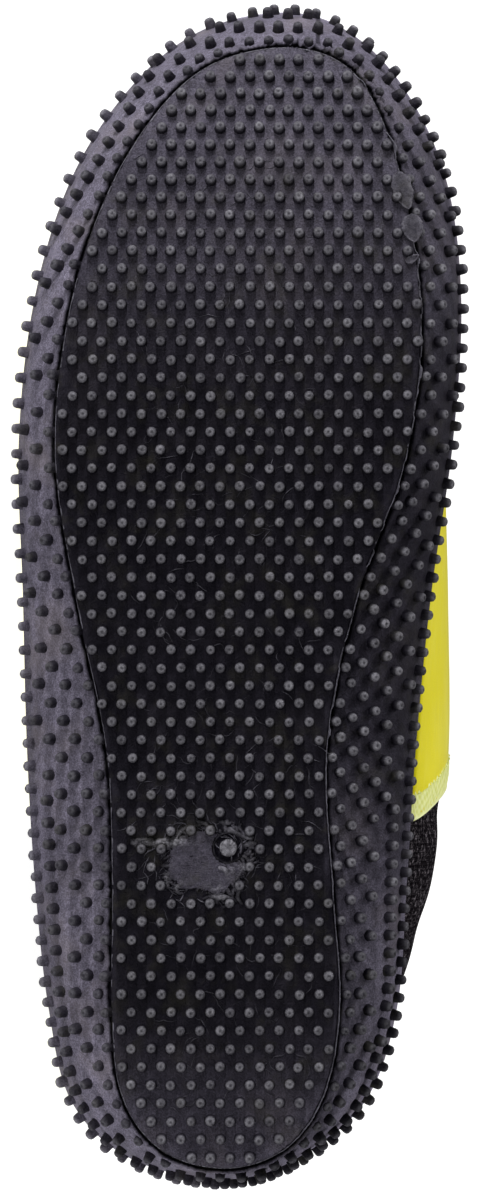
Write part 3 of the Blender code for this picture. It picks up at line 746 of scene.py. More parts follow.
def insideRing(points, ring):
    # even-odd rule: how many of the ring's edges lie above each point
    x, y = points[:, :1], points[:, 1:2]
    ax, ay = ring[:, 0], ring[:, 1]
    bx, by = np.roll(ax, -1), np.roll(ay, -1)
    spans = (ax <= x) != (bx <= x)
    crossing = ay + (x - ax) * (by - ay) / np.where(bx == ax, 1e-12, bx - ax)
    return (spans & (crossing > y)).sum(axis=1) % 2 == 1


nub = dict(
    footRadius=0.00140, bodyRadius=0.00129, neckRadius=0.00121, shoulderRadius=0.00104,
    crownRadius=0.00056, height=0.0024, sunk=0.0006, sides=10, sizeSpread=0.035, leanSpread=0.022,
)
# a painted highlight: how pale each ring of a nub is, from its foot to the dimple in its crown, brightest
# on the crown's ring
nubCrownHighlight = [0.0, 0.0, 0.0, 0.12, 0.62, 1.0, 0.12]
lattice = dict(
    rowPitch=0.00428, pitch=0.00465, rowZero=0.2090, columnZero=-0.0356, jitter=0.00007,
    lineClear=0.00085, wallClear=0.00115, gateClear=0.0046, waistShear=0.28,
    topRow=0.80, topClear=0.0033, secondRow=0.52, secondClear=0.0030, secondReach=70.0,
)
latticeRun = np.linspace(-0.03, 0.32, 4001)
# how the nubs spread over the wall, every 30 degrees from the heel over the lateral side: the
# distance from the plate's edge is stretched, and the top row has its own pitch in millimetres
spreadTurn = np.arange(13) * 30.0
spreadOut = np.array([1.0, 1.16, 1.24, 1.34, 1.32, 1.16, 1.0, 1.0, 1.10, 1.20, 1.08, 0.96, 1.0])
spreadTop = np.array([4.5, 4.7, 5.1, 5.8, 6.2, 6.0, 4.95, 4.8, 4.7, 4.5, 4.3, 4.2, 4.4])
gate = dict(x=0.0809, y=-0.0011)
patch = dict(x=0.0779, y=-0.0065, halfLength=0.0070, halfWidth=0.0085)


def walkedAlong(xs):
    # arc length along the underside's own curve
    return np.concatenate([[0], np.cumsum(np.hypot(np.diff(xs), np.diff(underside(xs))))])


def wallPoint(turn, out):
    return cupPoint(turn, out, smoothCurve(out, wallOut, wallUp))


def onWall(turn, out):
    # a point on the wall's outer face, and the outward normal there
    ahead = wallPoint(turn + 0.4, out) - wallPoint(turn - 0.4, out)
    rise = wallPoint(turn, np.clip(out + 0.02, 0, 1)) - wallPoint(turn, np.clip(out - 0.02, 0, 1))
    outward = np.cross(ahead, rise)
    outward /= np.linalg.norm(outward, axis=1, keepdims=True)
    return wallPoint(turn, out), outward


def latticeCentres():
    # one staggered lattice seen from below, its rows evenly spaced along the underside's curve
    walked = walkedAlong(latticeRun)
    rows = np.arange(-64, 32)
    columns = np.arange(-14, 36)
    stagger = np.where(rows % 2 == 0, 0.0, -0.5)
    along = np.interp(lattice["rowZero"], latticeRun, walked) + rows * lattice["rowPitch"]
    x = np.repeat(np.interp(along, walked, latticeRun)[:, None], len(columns), axis=1)
    y = lattice["columnZero"] + (columns[None, :] + stagger[:, None]) * lattice["pitch"]
    centres = np.stack([x.ravel(), y.ravel()], axis=1)
    return centres + np.random.default_rng(5).normal(size=centres.shape) * lattice["jitter"]


def nubsOnPlate(stand):
    # leaves the gate and its smooth patch free, and stands each nub square to the underside
    x, y = stand[:, 0], stand[:, 1]
    patchAway = ((x - patch["x"]) / patch["halfLength"]) ** 4 + ((y - patch["y"]) / patch["halfWidth"]) ** 4
    nearGate = np.hypot(x - gate["x"], y - gate["y"]) < lattice["gateClear"]
    stand = stand[(patchAway > 1.0) & ~nearGate]
    tilt = np.interp(stand[:, 0], latticeRun, np.gradient(underside(latticeRun), latticeRun))
    normals = np.stack([tilt, 0 * tilt, -np.ones_like(tilt)], axis=1)
    normals /= np.linalg.norm(normals, axis=1, keepdims=True)
    return np.stack([stand[:, 0], stand[:, 1], underside(stand[:, 0])], axis=1), normals


def nubsOnWall(lean, toEdge, turn, edge, rim):
    # a nub's turn is the one whose straight line from plate edge to rim passes nearest, and its
    # share of that line, stretched by the table above, gives its height on the wall. At the
    # medial waist the rows climb toward the toe. The top row and, around the heel, a second one
    # have their own pitch, and the lattice keeps clear of them.
    x, y = lean[:, 0], lean[:, 1]
    atWaist = smoothStep(0.05, 0.08, x) * smoothStep(0.185, 0.15, x) * (y > 0)
    lean[:, 0] += lattice["waistShear"] * toEdge * atWaist
    reach = rim - edge
    span = (reach**2).sum(axis=1)
    share = np.clip(((lean[:, None] - edge) * reach).sum(axis=2) / span, 0.0, 1.0)
    miss = ((lean[:, None] - edge - reach * share[..., None]) ** 2).sum(axis=2)
    column = miss.argmin(axis=1)
    share = share[np.arange(len(lean)), column] * np.interp(turn[column], spreadTurn, spreadOut)
    share = np.maximum(share, lattice["wallClear"] / np.sqrt(span[column]))
    feet, normals = onWall(turn[column], share)
    heights = np.array([lattice["topRow"], lattice["secondRow"]])
    topOut, secondOut = smoothCurve(heights, wallUp, wallOut)
    topPath, secondPath = (wallPoint(turn, out + 0 * turn) for out in (topOut, secondOut))
    step = np.linalg.norm(np.roll(topPath, -1, axis=0) - topPath, axis=1)
    around = np.concatenate([[0], np.cumsum(step / np.interp(turn, spreadTurn, spreadTop / 1000))])
    count = int(around[-1])
    topTurn = np.interp((np.arange(count) + 0.5) * around[-1] / count, around, np.append(turn, 360.0))
    secondTurn = topTurn + np.diff(topTurn, append=topTurn[0] + 360.0) / 2
    secondTurn = secondTurn[foldedTurn(secondTurn) < lattice["secondReach"]]
    topFeet, topNormals = onWall(topTurn, topOut + 0 * topTurn)
    secondFeet, secondNormals = onWall(secondTurn, secondOut + 0 * secondTurn)
    clear = (np.linalg.norm(feet - topPath[column], axis=1) > lattice["topClear"]) & (share < topOut)
    nearSecond = np.linalg.norm(feet - secondPath[column], axis=1) < lattice["secondClear"]
    clear &= ~(nearSecond & (foldedTurn(turn[column]) < lattice["secondReach"]))
    feet = np.concatenate([feet[clear], secondFeet, topFeet])
    normals = np.concatenate([normals[clear], secondNormals, topNormals])
    return feet, normals, np.arange(len(feet)) >= len(feet) - count


def makeNubs(name, feet, normals, tipHighlights, dustAndPaintedLight, seed):
    # a turned profile on every foot: foot, neck, shoulder, crown and a dimple in the middle
    sides = nub["sides"]
    profile = np.array([
        [nub["footRadius"], -nub["sunk"]],
        [nub["footRadius"], 0.0001],
        [nub["bodyRadius"], nub["height"] * 0.28],
        [nub["neckRadius"], nub["height"] * 0.64],
        [nub["shoulderRadius"], nub["height"] * 0.86],
        [nub["crownRadius"], nub["height"]],
        [0.0, nub["height"] * 0.91],
    ])
    rng = np.random.default_rng(seed)
    count = len(feet)
    size = 1 + rng.normal(size=count) * nub["sizeSpread"]
    lean = normals + rng.normal(size=normals.shape) * nub["leanSpread"]
    lean /= np.linalg.norm(lean, axis=1, keepdims=True)
    helper = np.where(np.abs(lean[:, :1]) > 0.8, [[0.0, 1.0, 0.0]], [[1.0, 0.0, 0.0]])
    side = np.cross(lean, helper)
    side /= np.linalg.norm(side, axis=1, keepdims=True)
    other = np.cross(lean, side)
    angle = np.arange(sides) * 2 * math.pi / sides
    circle = np.cos(angle)[None, :, None] * side[:, None] + np.sin(angle)[None, :, None] * other[:, None]
    rings = [
        feet[:, None] + circle * radius * size[:, None, None] + (lean * (rise * size)[:, None])[:, None]
        for radius, rise in profile[:-1]
    ]
    last = feet + lean * (profile[-1, 1] * size)[:, None]
    each = len(rings) * sides + 1
    points = np.concatenate([np.stack(rings, axis=1).reshape(count, -1, 3), last[:, None]], axis=1)
    local = np.arange(len(rings) * sides).reshape(len(rings), sides)
    cap = np.stack([local[-1], np.roll(local[-1], -1), np.full(sides, each - 1)], axis=1)
    base = np.arange(count)[:, None, None] * each
    faces = (base + gridFaces(local)[None]).reshape(-1, 4).tolist()
    faces += (base + cap[None]).reshape(-1, 3).tolist()
    faces += (np.arange(count)[:, None] * each + local[0][::-1][None]).tolist()
    # painted highlight on each nub's crown, scaled by the nub's tip strength
    pale = np.append(np.repeat(nubCrownHighlight[:-1], sides), nubCrownHighlight[-1])
    tip = tipHighlights[:, None] * pale[None] * (1 + 0.15 * rng.normal(size=(count, 1)))
    marks = dict(tip=tip.ravel(), dustAndPaintedLight=np.repeat(dustAndPaintedLight, each))
    makePiece(name, points.reshape(-1, 3), faces, [finishes["rubber"]], "outsole",
              marks=marks)


# how strong the painted highlight on the nubs' tips is and how much of the dust lies on the nubs, on plate,
# wall and top row; the top row's extra dust is a painted highlight too
nubTone = dict(
    plateTipHighlight=0.50, plateToeLessHighlight=0.06, plateDust=0.20,
    wallTipHighlight=0.56, lateralLessHighlight=0.60, heelLessHighlight=0.45, wallDust=0.10, topRowTipHighlight=0.40, topRowPaintedHighlight=0.30,
)


def makeAllNubs():
    # the lattice's points inside the plate's outline stand on the plate, those between it and
    # the rim lean on the wall
    look = nubTone
    centres = latticeCentres()
    turn = np.arange(3600) * 0.1
    edge = plateEdge(turn)[:, :2]
    rim = cupPoint(turn, 0 * turn + 1, 0 * turn + 1)[:, :2]
    toEdge = np.sqrt(((centres[:, None] - edge[None]) ** 2).sum(axis=2)).min(axis=1)
    onPlate = insideRing(centres, edge) & (toEdge > lattice["lineClear"])
    leaning = insideRing(centres, rim) & ~onPlate
    feet, normals = nubsOnPlate(centres[onPlate])
    # painted highlight on the plate nubs' tips, a little weaker toward the toe
    tipHighlights = look["plateTipHighlight"] - look["plateToeLessHighlight"] * smoothStep(0.200, 0.250, feet[:, 0])
    dustAndPaintedLight = dustAndRimHighlightOn(feet, np.zeros(len(feet))) * look["plateDust"]
    makeNubs("plateNubs", feet, normals, tipHighlights, dustAndPaintedLight, 21)
    print("nubs on the plate:", len(feet))
    feet, normals, onTopRow = nubsOnWall(centres[leaning], toEdge[leaning], turn, edge, rim)
    lateral = smoothStep(0.004, -0.012, feet[:, 1])
    toe = smoothStep(0.225, 0.262, feet[:, 0])
    heel = smoothStep(0.085, 0.050, feet[:, 0]) * (1 - lateral)
    # painted highlight: lower on the lateral, toe and heel nubs, raised on the top row at the lateral side
    # and the toe in tip, and at the lateral side in dust; heel nubs also lose their dust
    dark = np.maximum(np.maximum(lateral, toe) * look["lateralLessHighlight"], heel * look["heelLessHighlight"])
    tipHighlights = look["wallTipHighlight"] * (1 - dark) + look["topRowTipHighlight"] * onTopRow * np.maximum(lateral, toe)
    dustAndPaintedLight = dustAndRimHighlightOn(feet, np.full(len(feet), 0.5)) * (look["wallDust"] + look["topRowPaintedHighlight"] * onTopRow * lateral)
    makeNubs("wallNubs", feet, normals, tipHighlights, dustAndPaintedLight * (1 - heel), 22)
    print("nubs on the wall:", len(feet))


# the gate's turned profile: radius and height above the plate
gateColumns = ("radius", "rise")
gateRows = [
    [0.00395, 0.00000], [0.00352, 0.00050], [0.00336, 0.00050], [0.00318, 0.00004], [0.00214, 0.00004],
    [0.00202, 0.00060], [0.00175, 0.00086], [0.00110, 0.00070], [0.00050, 0.00088],
]
gateLook = dict(
    sides=48, middleRise=0.00072, rough=0.05, wave=0.00010,
    stubRadius=0.00205, grooveStart=0.00208, grooveEnd=0.00345,
)


def makeGateMark():
    # a low collar, a deep groove painted black as its shade, and the rough stub of the gate in it
    look = gateLook
    angle = np.arange(look["sides"]) * 2 * math.pi / look["sides"]
    rough = 1 + look["rough"] * noiseLine(31, look["sides"], 9)
    rings = []
    for k, row in enumerate(gateRows):
        part = dict(zip(gateColumns, row))
        x = gate["x"] + part["radius"] * rough * np.cos(angle)
        y = gate["y"] + part["radius"] * rough * np.sin(angle)
        wave = look["wave"] * noiseLine(320 + k, look["sides"], 14) * (part["rise"] > 0)
        rings.append(np.stack([x, y, underside(x) - part["rise"] - wave], axis=1))
    number = np.arange(len(rings) * len(angle)).reshape(len(rings), len(angle))
    middle = np.array([[gate["x"], gate["y"], underside(gate["x"]) - look["middleRise"]]])
    points = np.concatenate(rings + [middle])
    faces = gridFaces(number)[:, ::-1].tolist()
    last = len(points) - 1
    faces += [[int(b), int(a), last] for a, b in zip(number[-1], np.roll(number[-1], -1))]
    faces.append(number[0].tolist())
    radius = np.hypot(points[:, 0] - gate["x"], points[:, 1] - gate["y"])
    inGroove = (radius > look["grooveStart"]) & (radius < look["grooveEnd"])
    speckle = 0.16 * np.random.default_rng(33).normal(size=len(points))
    collarTip = np.where(radius > look["grooveEnd"], 0.07 + 0.2 * speckle, 0.0)
    marks = dict(
        # painted shade: the groove's dust mark goes below zero, darker than bare rubber
        dustAndPaintedLight=np.where(inGroove, -0.4, 0.0),
        tip=np.where(radius < look["stubRadius"], 0.62 + speckle, collarTip),
    )
    makePiece("gateMark", points, faces, [finishes["rubber"]], "outsole", marks=marks)


scar = dict(
    x=0.0782, y=-0.0063, halfLength=0.0125, halfWidth=0.0178, cells=240, rise=0.00075, sunk=0.00012,
    thickness=0.0005, patchRise=0.00010, brushRise=0.00004,
    gateClear=0.0031, gateStart=0.0036, gateFull=0.0042, shownRise=0.00009,
    ringAt=1.12, ringWidth=0.17, gateRing=0.0052, gateRingWidth=0.0011,
    streakX=0.0822, streakWidth=0.0007, tailX=0.0700, tailY=-0.0020, tailLength=0.0026, tailWidth=0.0046,
)
# the scar's wavy fields: seed, number of waves, shortest and longest wave in metres
scarWaves = dict(
    ridges=(71, 150, 0.0040, 0.0150), fine=(72, 150, 0.0014, 0.0040), outline=(74, 40, 0.0060, 0.0160),
    uneven=(75, 30, 0.0050, 0.0140), streak=(76, 50, 0.0015, 0.0050), brushed=(73, 60, 0.0008, 0.0030),
)


def wavyField(x, y, seed, waves, shortest, longest):
    # a sum of plane waves with random directions, lengths and phases, about -1 to 1
    rng = np.random.default_rng(seed)
    length = shortest * (longest / shortest) ** rng.random(waves)
    way = rng.random(waves) * 2 * math.pi
    phase = rng.random(waves) * 2 * math.pi
    total = 0 * x
    for k in range(waves):
        along = x * np.cos(way[k]) + y * np.sin(way[k])
        total = total + np.sin(2 * math.pi / length[k] * along + phase[k])
    return total / (np.abs(total).max() * 0.7)


def bell(at, middle, width):
    return np.exp(-((at - middle) / width) ** 2)


def makeGateScar():
    # rough flash around the gate's smooth patch: thin crests where a wavy field crosses zero,
    # strong in a ring round the patch and in a streak to the lateral side
    side = np.linspace(-1, 1, scar["cells"])
    gx, gy = np.meshgrid(
        scar["x"] + side * scar["halfLength"], scar["y"] + side * scar["halfWidth"], indexing="ij"
    )
    ridges = 1 - np.abs(wavyField(gx, gy, *scarWaves["ridges"]))
    fine = 1 - np.abs(wavyField(gx, gy, *scarWaves["fine"]))
    patchAway = np.hypot((gx - patch["x"]) / patch["halfLength"], (gy - patch["y"]) / patch["halfWidth"])
    patchAway = patchAway + 0.16 * wavyField(gx, gy, *scarWaves["outline"])
    gateAway = np.hypot(gx - gate["x"], gy - gate["y"])
    offGate = smoothStep(scar["gateStart"], scar["gateFull"], gateAway)
    uneven = np.clip(0.45 + 0.9 * wavyField(gx, gy, *scarWaves["uneven"]), 0.05, 1.0)
    ring = bell(patchAway, scar["ringAt"], scar["ringWidth"]) * uneven
    rightRing = bell(gateAway, scar["gateRing"], scar["gateRingWidth"]) * (gy > gate["y"] - 0.002)
    streak = bell(gx, scar["streakX"], scar["streakWidth"]) * smoothStep(-0.0085, -0.0120, gy)
    tail = bell(gx, scar["tailX"], scar["tailLength"]) * bell(gy, scar["tailY"], scar["tailWidth"])
    strength = np.clip(ring * 0.8 + rightRing * 0.9 + streak + tail * 0.7, 0, 1)
    border = np.minimum(1 - np.abs(side)[:, None], 1 - np.abs(side)[None])
    strength = strength * smoothStep(0.0, 0.10, border) * offGate
    smooth = smoothStep(1.06, 0.90, patchAway) * offGate
    height = strength * (np.clip(ridges, 0, 1) ** 16 * 0.8 + np.clip(fine, 0, 1) ** 12 * 0.4)
    streakWaves = wavyField(gx * 4.0, gy * 0.5, *scarWaves["streak"])
    height = height + streak * np.clip(0.25 + 0.35 * streakWaves, 0, 1)
    brushed = wavyField(gx * 3.5, gy * 0.45, *scarWaves["brushed"])
    rise = scar["rise"] * height + smooth * (scar["patchRise"] + scar["brushRise"] * brushed)
    points = np.stack([gx, gy, underside(gx) + scar["sunk"] - rise], axis=-1).reshape(-1, 3)
    number = np.arange(len(points)).reshape(gx.shape)
    quads = gridFaces(number, closed=False)[:, ::-1]
    shown = (rise.ravel()[quads] > scar["shownRise"]).any(axis=1)
    shown &= gateAway.ravel()[quads].min(axis=1) > scar["gateClear"]
    tip = np.clip(height * 0.62 + strength * 0.02 + smooth * (0.01 + 0.07 * brushed), 0, 1)
    dustAndPaintedLight = smooth * 0.17 + strength * 0.06
    used, renumbered, tip, dustAndPaintedLight = compact(points, quads[shown], tip.ravel(), dustAndPaintedLight.ravel())
    piece = makePiece("gateScar", used, renumbered, [finishes["rubber"]], "outsole",
                      marks=dict(tip=tip, dustAndPaintedLight=dustAndPaintedLight))
    addWall(piece, scar["thickness"])


flashLook = dict(
    columns=1440, thickness=0.00016, base=-0.00034, rise=0.00050, fine=0.00030, fineWaves=320,
    coarse=0.00018, coarseWaves=90, dashWaves=150, everywhere=0.12, lateral=0.30, medial=0.88,
    inset=0.0001, spread=0.75, seat=0.0006, drop=0.55, shares=(0.0, 0.35, 0.7, 1.0),
)
# torn flaps of the parting line: the turn of their middle, half their span in degrees, their height
flaps = [
    dict(turn=215.0, span=2.4, height=0.0014), dict(turn=222.5, span=1.6, height=0.0010),
    dict(turn=201.0, span=1.8, height=0.0007), dict(turn=246.0, span=2.0, height=0.0007),
    dict(turn=258.0, span=3.0, height=0.0006), dict(turn=284.0, span=6.0, height=0.0004),
    dict(turn=232.0, span=1.6, height=0.0008),
]


def makeFlash():
    # a thin ragged strip along the parting line: dashes and, at the medial heel, an unbroken
    # edge, both with fine noise, and the torn flaps as parabolas
    look = flashLook
    turn = np.arange(look["columns"]) * 360.0 / look["columns"]
    fine = look["fine"] * np.abs(noiseLine(41, len(turn), look["fineWaves"]))
    fine = fine + look["coarse"] * np.abs(noiseLine(42, len(turn), look["coarseWaves"]))
    atMedial = smoothStep(222.0, 240.0, turn) * smoothStep(345.0, 325.0, turn)
    much = look["everywhere"] + look["lateral"] * lateralSide(turn) + look["medial"] * atMedial
    dashes = smoothStep(-0.05, 0.12, noiseLine(43, len(turn), look["dashWaves"])) * much
    atHeel = smoothStep(283.0, 290.0, turn) * smoothStep(352.0, 342.0, turn)
    height = look["base"] + (look["rise"] + fine) * np.maximum(dashes, atHeel)
    for flap in flaps:
        away = np.abs(turn - flap["turn"]) / flap["span"]
        ragged = 1 + 0.45 * noiseLine(int(flap["turn"]), len(turn), 260)
        height = height + flap["height"] * np.clip(1 - away**2, 0, 1) * ragged
    rows = []
    for share in look["shares"]:
        ring = movedInward(plateEdge, turn, look["inset"] - look["spread"] * height * share)
        ring[:, 2] += look["seat"] - (look["seat"] + look["drop"] * height) * share**0.7
        rows.append(ring)
    number = np.arange(len(rows) * len(turn)).reshape(len(rows), len(turn))
    piece = makePiece("partingFlash", np.concatenate(rows), gridFaces(number), [finishes["flash"]],
                      "outsole")
    addWall(piece, look["thickness"])


# torn leaves of the parting line at the medial toe: middle, length, width, heading, lift
leafColumns = ("x", "y", "length", "width", "heading", "lift")
leafRows = [
    [0.2362, 0.0402, 0.0094, 0.0048, 163.0, 0.0007],
    [0.2272, 0.0424, 0.0068, 0.0050, 172.0, 0.0008],
    [0.2200, 0.0424, 0.0036, 0.0018, 60.0, 0.0006],
]


leafLook = dict(steps=22, lanes=7, ragged=0.13, bow=0.0004, curl=0.0006, thickness=0.0003)


def makeTornFlaps():
    # each leaf is a grid whose width follows a ragged sine along its length, and whose tip curls
    steps, lanes = leafLook["steps"], leafLook["lanes"]
    along = np.linspace(0, 1, steps)[:, None]
    across = np.linspace(-1, 1, lanes)[None]
    points, faces, tip = [], [], []
    for k, row in enumerate(leafRows):
        leaf = dict(zip(leafColumns, row))
        ragged = 1 + leafLook["ragged"] * noiseLine(90 + k, steps, 9)[:, None]
        wide = leaf["width"] / 2 * np.sin(math.pi * along**0.8) ** 0.6 * ragged
        heading = math.radians(leaf["heading"])
        far, aside = (along - 0.5) * leaf["length"], across * wide
        x = leaf["x"] + far * math.cos(heading) - aside * math.sin(heading)
        y = leaf["y"] + far * math.sin(heading) + aside * math.cos(heading)
        bow = leafLook["bow"] * np.sin(along * 5.0 + across)
        bow = bow + leafLook["curl"] * np.abs(across) ** 3 * along
        z = underside(x) - leaf["lift"] - bow * 0.6
        points.append(np.stack([x, y, z], axis=-1).reshape(-1, 3))
        number = k * steps * lanes + np.arange(steps * lanes).reshape(steps, lanes)
        faces.append(gridFaces(number, closed=False)[:, ::-1])
        tip.append((0.11 + 0.14 * np.abs(across) ** 3 + 0 * along).ravel())
    marks = dict(tip=np.concatenate(tip), dustAndPaintedLight=np.concatenate(tip))
    piece = makePiece("tornFlaps", np.concatenate(points), np.concatenate(faces), [finishes["rubber"]],
                      "outsole", marks=marks)
    addWall(piece, leafLook["thickness"])


whiskers = dict(
    count=420, steps=7, step=0.00072, radius=0.00012, patchShare=0.22, bend=0.42, sunk=0.0001,
    startX=0.012, runX=0.235, startY=-0.022, runY=0.040, reach=1.15, reachSpread=0.22,
    headingSpread=0.3, shortest=0.6, longer=0.8, patchThick=1.5, plateThick=0.9, crest=1.7,
)


def tubeFaces(count, steps, sides, reverse=False):
    # faces of many small tubes whose points run ring by ring, with both ends closed
    local = np.arange(steps * sides).reshape(steps, sides)
    base = np.arange(count)[:, None, None] * steps * sides
    body = (base + gridFaces(local)[None]).reshape(-1, 4)
    ends = np.stack([local[0], local[-1][::-1]])
    if reverse:
        body = body[:, ::-1]
    return body.tolist() + (base + ends[None]).reshape(-1, sides).tolist()


def makeWhiskers():
    # thin crumbs of rubber between the nubs: short random walks with a three-sided section,
    # thick around the gate's smooth patch
    rng = np.random.default_rng(51)
    count, steps = whiskers["count"], whiskers["steps"]
    around = rng.random(count) * 2 * math.pi
    onPatch = np.arange(count) < count * whiskers["patchShare"]
    reach = whiskers["reach"] + whiskers["reachSpread"] * rng.normal(size=count)
    x = whiskers["startX"] + whiskers["runX"] * rng.random(count)
    y = whiskers["startY"] + whiskers["runY"] * rng.random(count)
    x = np.where(onPatch, patch["x"] + np.sin(around) * patch["halfLength"] * reach, x)
    y = np.where(onPatch, patch["y"] + np.cos(around) * patch["halfWidth"] * reach, y)
    heading = np.where(onPatch, -around, rng.random(count) * 2 * math.pi)
    heading = heading + rng.normal(size=count) * whiskers["headingSpread"]
    bends = np.cumsum(rng.normal(size=(count, steps)) * whiskers["bend"], axis=1)
    length = whiskers["step"] * (whiskers["shortest"] + whiskers["longer"] * rng.random((count, 1)))
    direction = np.stack([np.cos(heading[:, None] + bends), np.sin(heading[:, None] + bends)], axis=-1)
    path = np.cumsum(direction * length[..., None], axis=1) + np.stack([x, y], axis=1)[:, None]
    taper = np.sin(np.linspace(0.25, math.pi - 0.25, steps))
    radius = whiskers["radius"] * (0.5 + rng.random((count, 1))) * taper
    radius = radius * np.where(onPatch, whiskers["patchThick"], whiskers["plateThick"])[:, None]
    square = np.stack([-direction[..., 1], direction[..., 0]], axis=-1)
    ground = underside(path[..., 0])
    foot = (ground + whiskers["sunk"])[..., None]
    left = np.concatenate([path - square * radius[..., None], foot], axis=-1)
    right = np.concatenate([path + square * radius[..., None], foot], axis=-1)
    crest = np.concatenate([path, (ground - radius * whiskers["crest"])[..., None]], axis=-1)
    points = np.stack([left, crest, right], axis=2)
    faces = tubeFaces(count, steps, 3)
    makePiece("rubberCrumbs", points.reshape(-1, 3), faces, [finishes["flash"]], "outsole")


makeOutsoleShell()
makeAllNubs()
makeGateMark()
makeGateScar()
makeFlash()
makeTornFlaps()
makeWhiskers()
say("outsole made")

upperGrid = dict(columns=480, cupRows=4, lowRows=14, highRows=26, clothWidth=0.70, clothHeight=0.036)


def upperShell():
    # the whole upper as rings of points; along the crest both sides share the last ring
    grid = upperGrid
    levels = np.concatenate([
        np.linspace(0, 1, grid["cupRows"], endpoint=False),
        np.linspace(1, 2, grid["lowRows"], endpoint=False),
        np.linspace(2, 3, grid["highRows"] + 1),
    ])
    level, share = np.meshgrid(levels, np.arange(grid["columns"]) / grid["columns"], indexing="ij")
    turn = share * 360.0
    points = upperPoint(turn, level)
    number = np.arange(turn.size).reshape(turn.shape)
    mirror = (grid["columns"] - np.arange(grid["columns"])) % grid["columns"]
    onCrest = (foldedTurn(turn[-1]) >= shoe["collarTurn"]) & (turn[-1] > 180.0)
    number[-1] = np.where(onCrest, number[-1][mirror], number[-1])
    faces = gridFaces(number)
    flat = points.reshape(-1, 3)
    return dict(
        turn=turn, level=level, number=number, points=flat, faces=faces,
        normals=surfaceNormals(flat, faces), uv=shellUv(turn, level),
    )


def shellUv(turn, level):
    # metres around and up for each face corner, without a jump where the ring closes
    u = turn / 360.0
    nextU = np.roll(u, -1, axis=1)
    nextU[:, -1] = u[:, -1] + (u[:, -1] - u[:, -2])
    corners = [(u[:-1], level[:-1]), (nextU[:-1], level[:-1]), (nextU[1:], level[1:]), (u[1:], level[1:])]
    uv = np.stack([np.stack(corner, axis=-1) for corner in corners], axis=2).reshape(-1, 4, 2)
    return uv * np.array([upperGrid["clothWidth"], upperGrid["clothHeight"]])


shell = upperShell()


def makeUpper():
    used, renumbered = compact(shell["points"], shell["faces"])
    piece = makePiece("meshUpper", used, renumbered, [finishes["mesh"], finishes["lining"]], "upper",
                      uv=shell["uv"])
    addWall(piece, shoe["upperWall"], inside=1)


panelLook = dict(
    edgeTurn=67.2, lowLean=3.9, highLean=0.8, lowLevel=1.03, topLevel=2.93, bandTurn=88.0,
    thickness=0.0009, paleAndHighlight=0.40,
)
hemLook = dict(
    width=3.6, spread=1.2, rows=520, columns=25, topLevel=2.97, tuck=0.25, wander=0.10,
    ribs=120.0, ribSlant=26.0, knots=61.0, knotSlant=21.0, ribRise=0.00016,
    beadAt=0.08, beadWidth=0.055, beadRise=0.00030, seamShare=0.70,
    ribSway=1.6, ribSwayPace=23.0, knotSway=2.0, knotSwayPace=17.0, archRun=1.04, archPower=0.4,
)


def panelEdgeTurn(level):
    # the rear edge leans toward the toe as it climbs, slowly at first
    lowPart = smoothStep(0.0, 1.15, np.clip(level - 1.0, 0, 1)) * panelLook["lowLean"]
    return panelLook["edgeTurn"] + lowPart + panelLook["highLean"] * np.clip(level - 2.0, 0, 1)


def hemWidth(level):
    # the hem spreads up to the widest line
    return hemLook["width"] + hemLook["spread"] * np.clip(level - 1.0, 0, 1)


def offsetGrid(turn, level, distance):
    # points lifted off the upper along its normal, worked out from small steps both ways
    point = upperPoint(turn, level)
    around = upperPoint(turn + 0.25, level) - upperPoint(turn - 0.25, level)
    lower, upper = np.clip(level - 0.02, 0, 3), np.clip(level + 0.02, 0, 3)
    climb = upperPoint(turn, upper) - upperPoint(turn, lower)
    normal = np.cross(around, climb)
    normal /= np.linalg.norm(normal, axis=-1, keepdims=True) + 1e-12
    return point + normal * np.asarray(distance)[..., None]


def makeVampPanel():
    # the shell's own facets ahead of the rear edge, lifted off it and thickened; a painted highlight makes
    # it paler toward the widest line and leaves it deep yellow on top and at the toe
    look = panelLook
    folded = foldedTurn(shell["turn"]).ravel()
    level = shell["level"].ravel()
    faces = shell["faces"]
    ahead = folded >= panelEdgeTurn(level)
    keep = ahead[faces].all(axis=1) & (level[faces].min(axis=1) >= look["lowLevel"])
    onBand = (folded < look["bandTurn"]) & (level > look["topLevel"])
    keep &= ~onBand[faces].all(axis=1)
    # painted highlight: paler toward the widest line, fading out on top and at the toe
    edge = look["paleAndHighlight"] * smoothStep(1.30, 2.05, level) ** 2 * smoothStep(2.8, 2.2, level)
    edge = edge * smoothStep(135.0, 100.0, folded)
    lifted = shell["points"] + shell["normals"] * shoe["gap"]
    used, renumbered, edge = compact(lifted, faces[keep], edge)
    piece = makePiece("yellowVamp", used, renumbered, [finishes["yellow"]], "vamp_panel",
                      uv=shell["uv"][keep], marks=dict(edge=edge), lowest=look["thickness"])
    addWall(piece, look["thickness"], outward=True)


def closedPad(turn, level, height):
    # a sheet on the upper with its top at the height, its underside at the gap and a wall around
    rows, columns = turn.shape
    top = offsetGrid(turn, level, height)
    bottom = offsetGrid(turn, level, 0 * height + shoe["gap"])
    number = np.arange(rows * columns).reshape(rows, columns)
    under = gridFaces(number + rows * columns, closed=False)[:, ::-1]
    border = np.concatenate([number[0], number[1:, -1], number[-1, -2::-1], number[-2:0:-1, 0]])
    beside = np.roll(border, -1)
    wall = np.stack([beside, border, border + rows * columns, beside + rows * columns], axis=1)
    points = np.concatenate([top.reshape(-1, 3), bottom.reshape(-1, 3)])
    return points, np.concatenate([gridFaces(number, closed=False), under, wall])


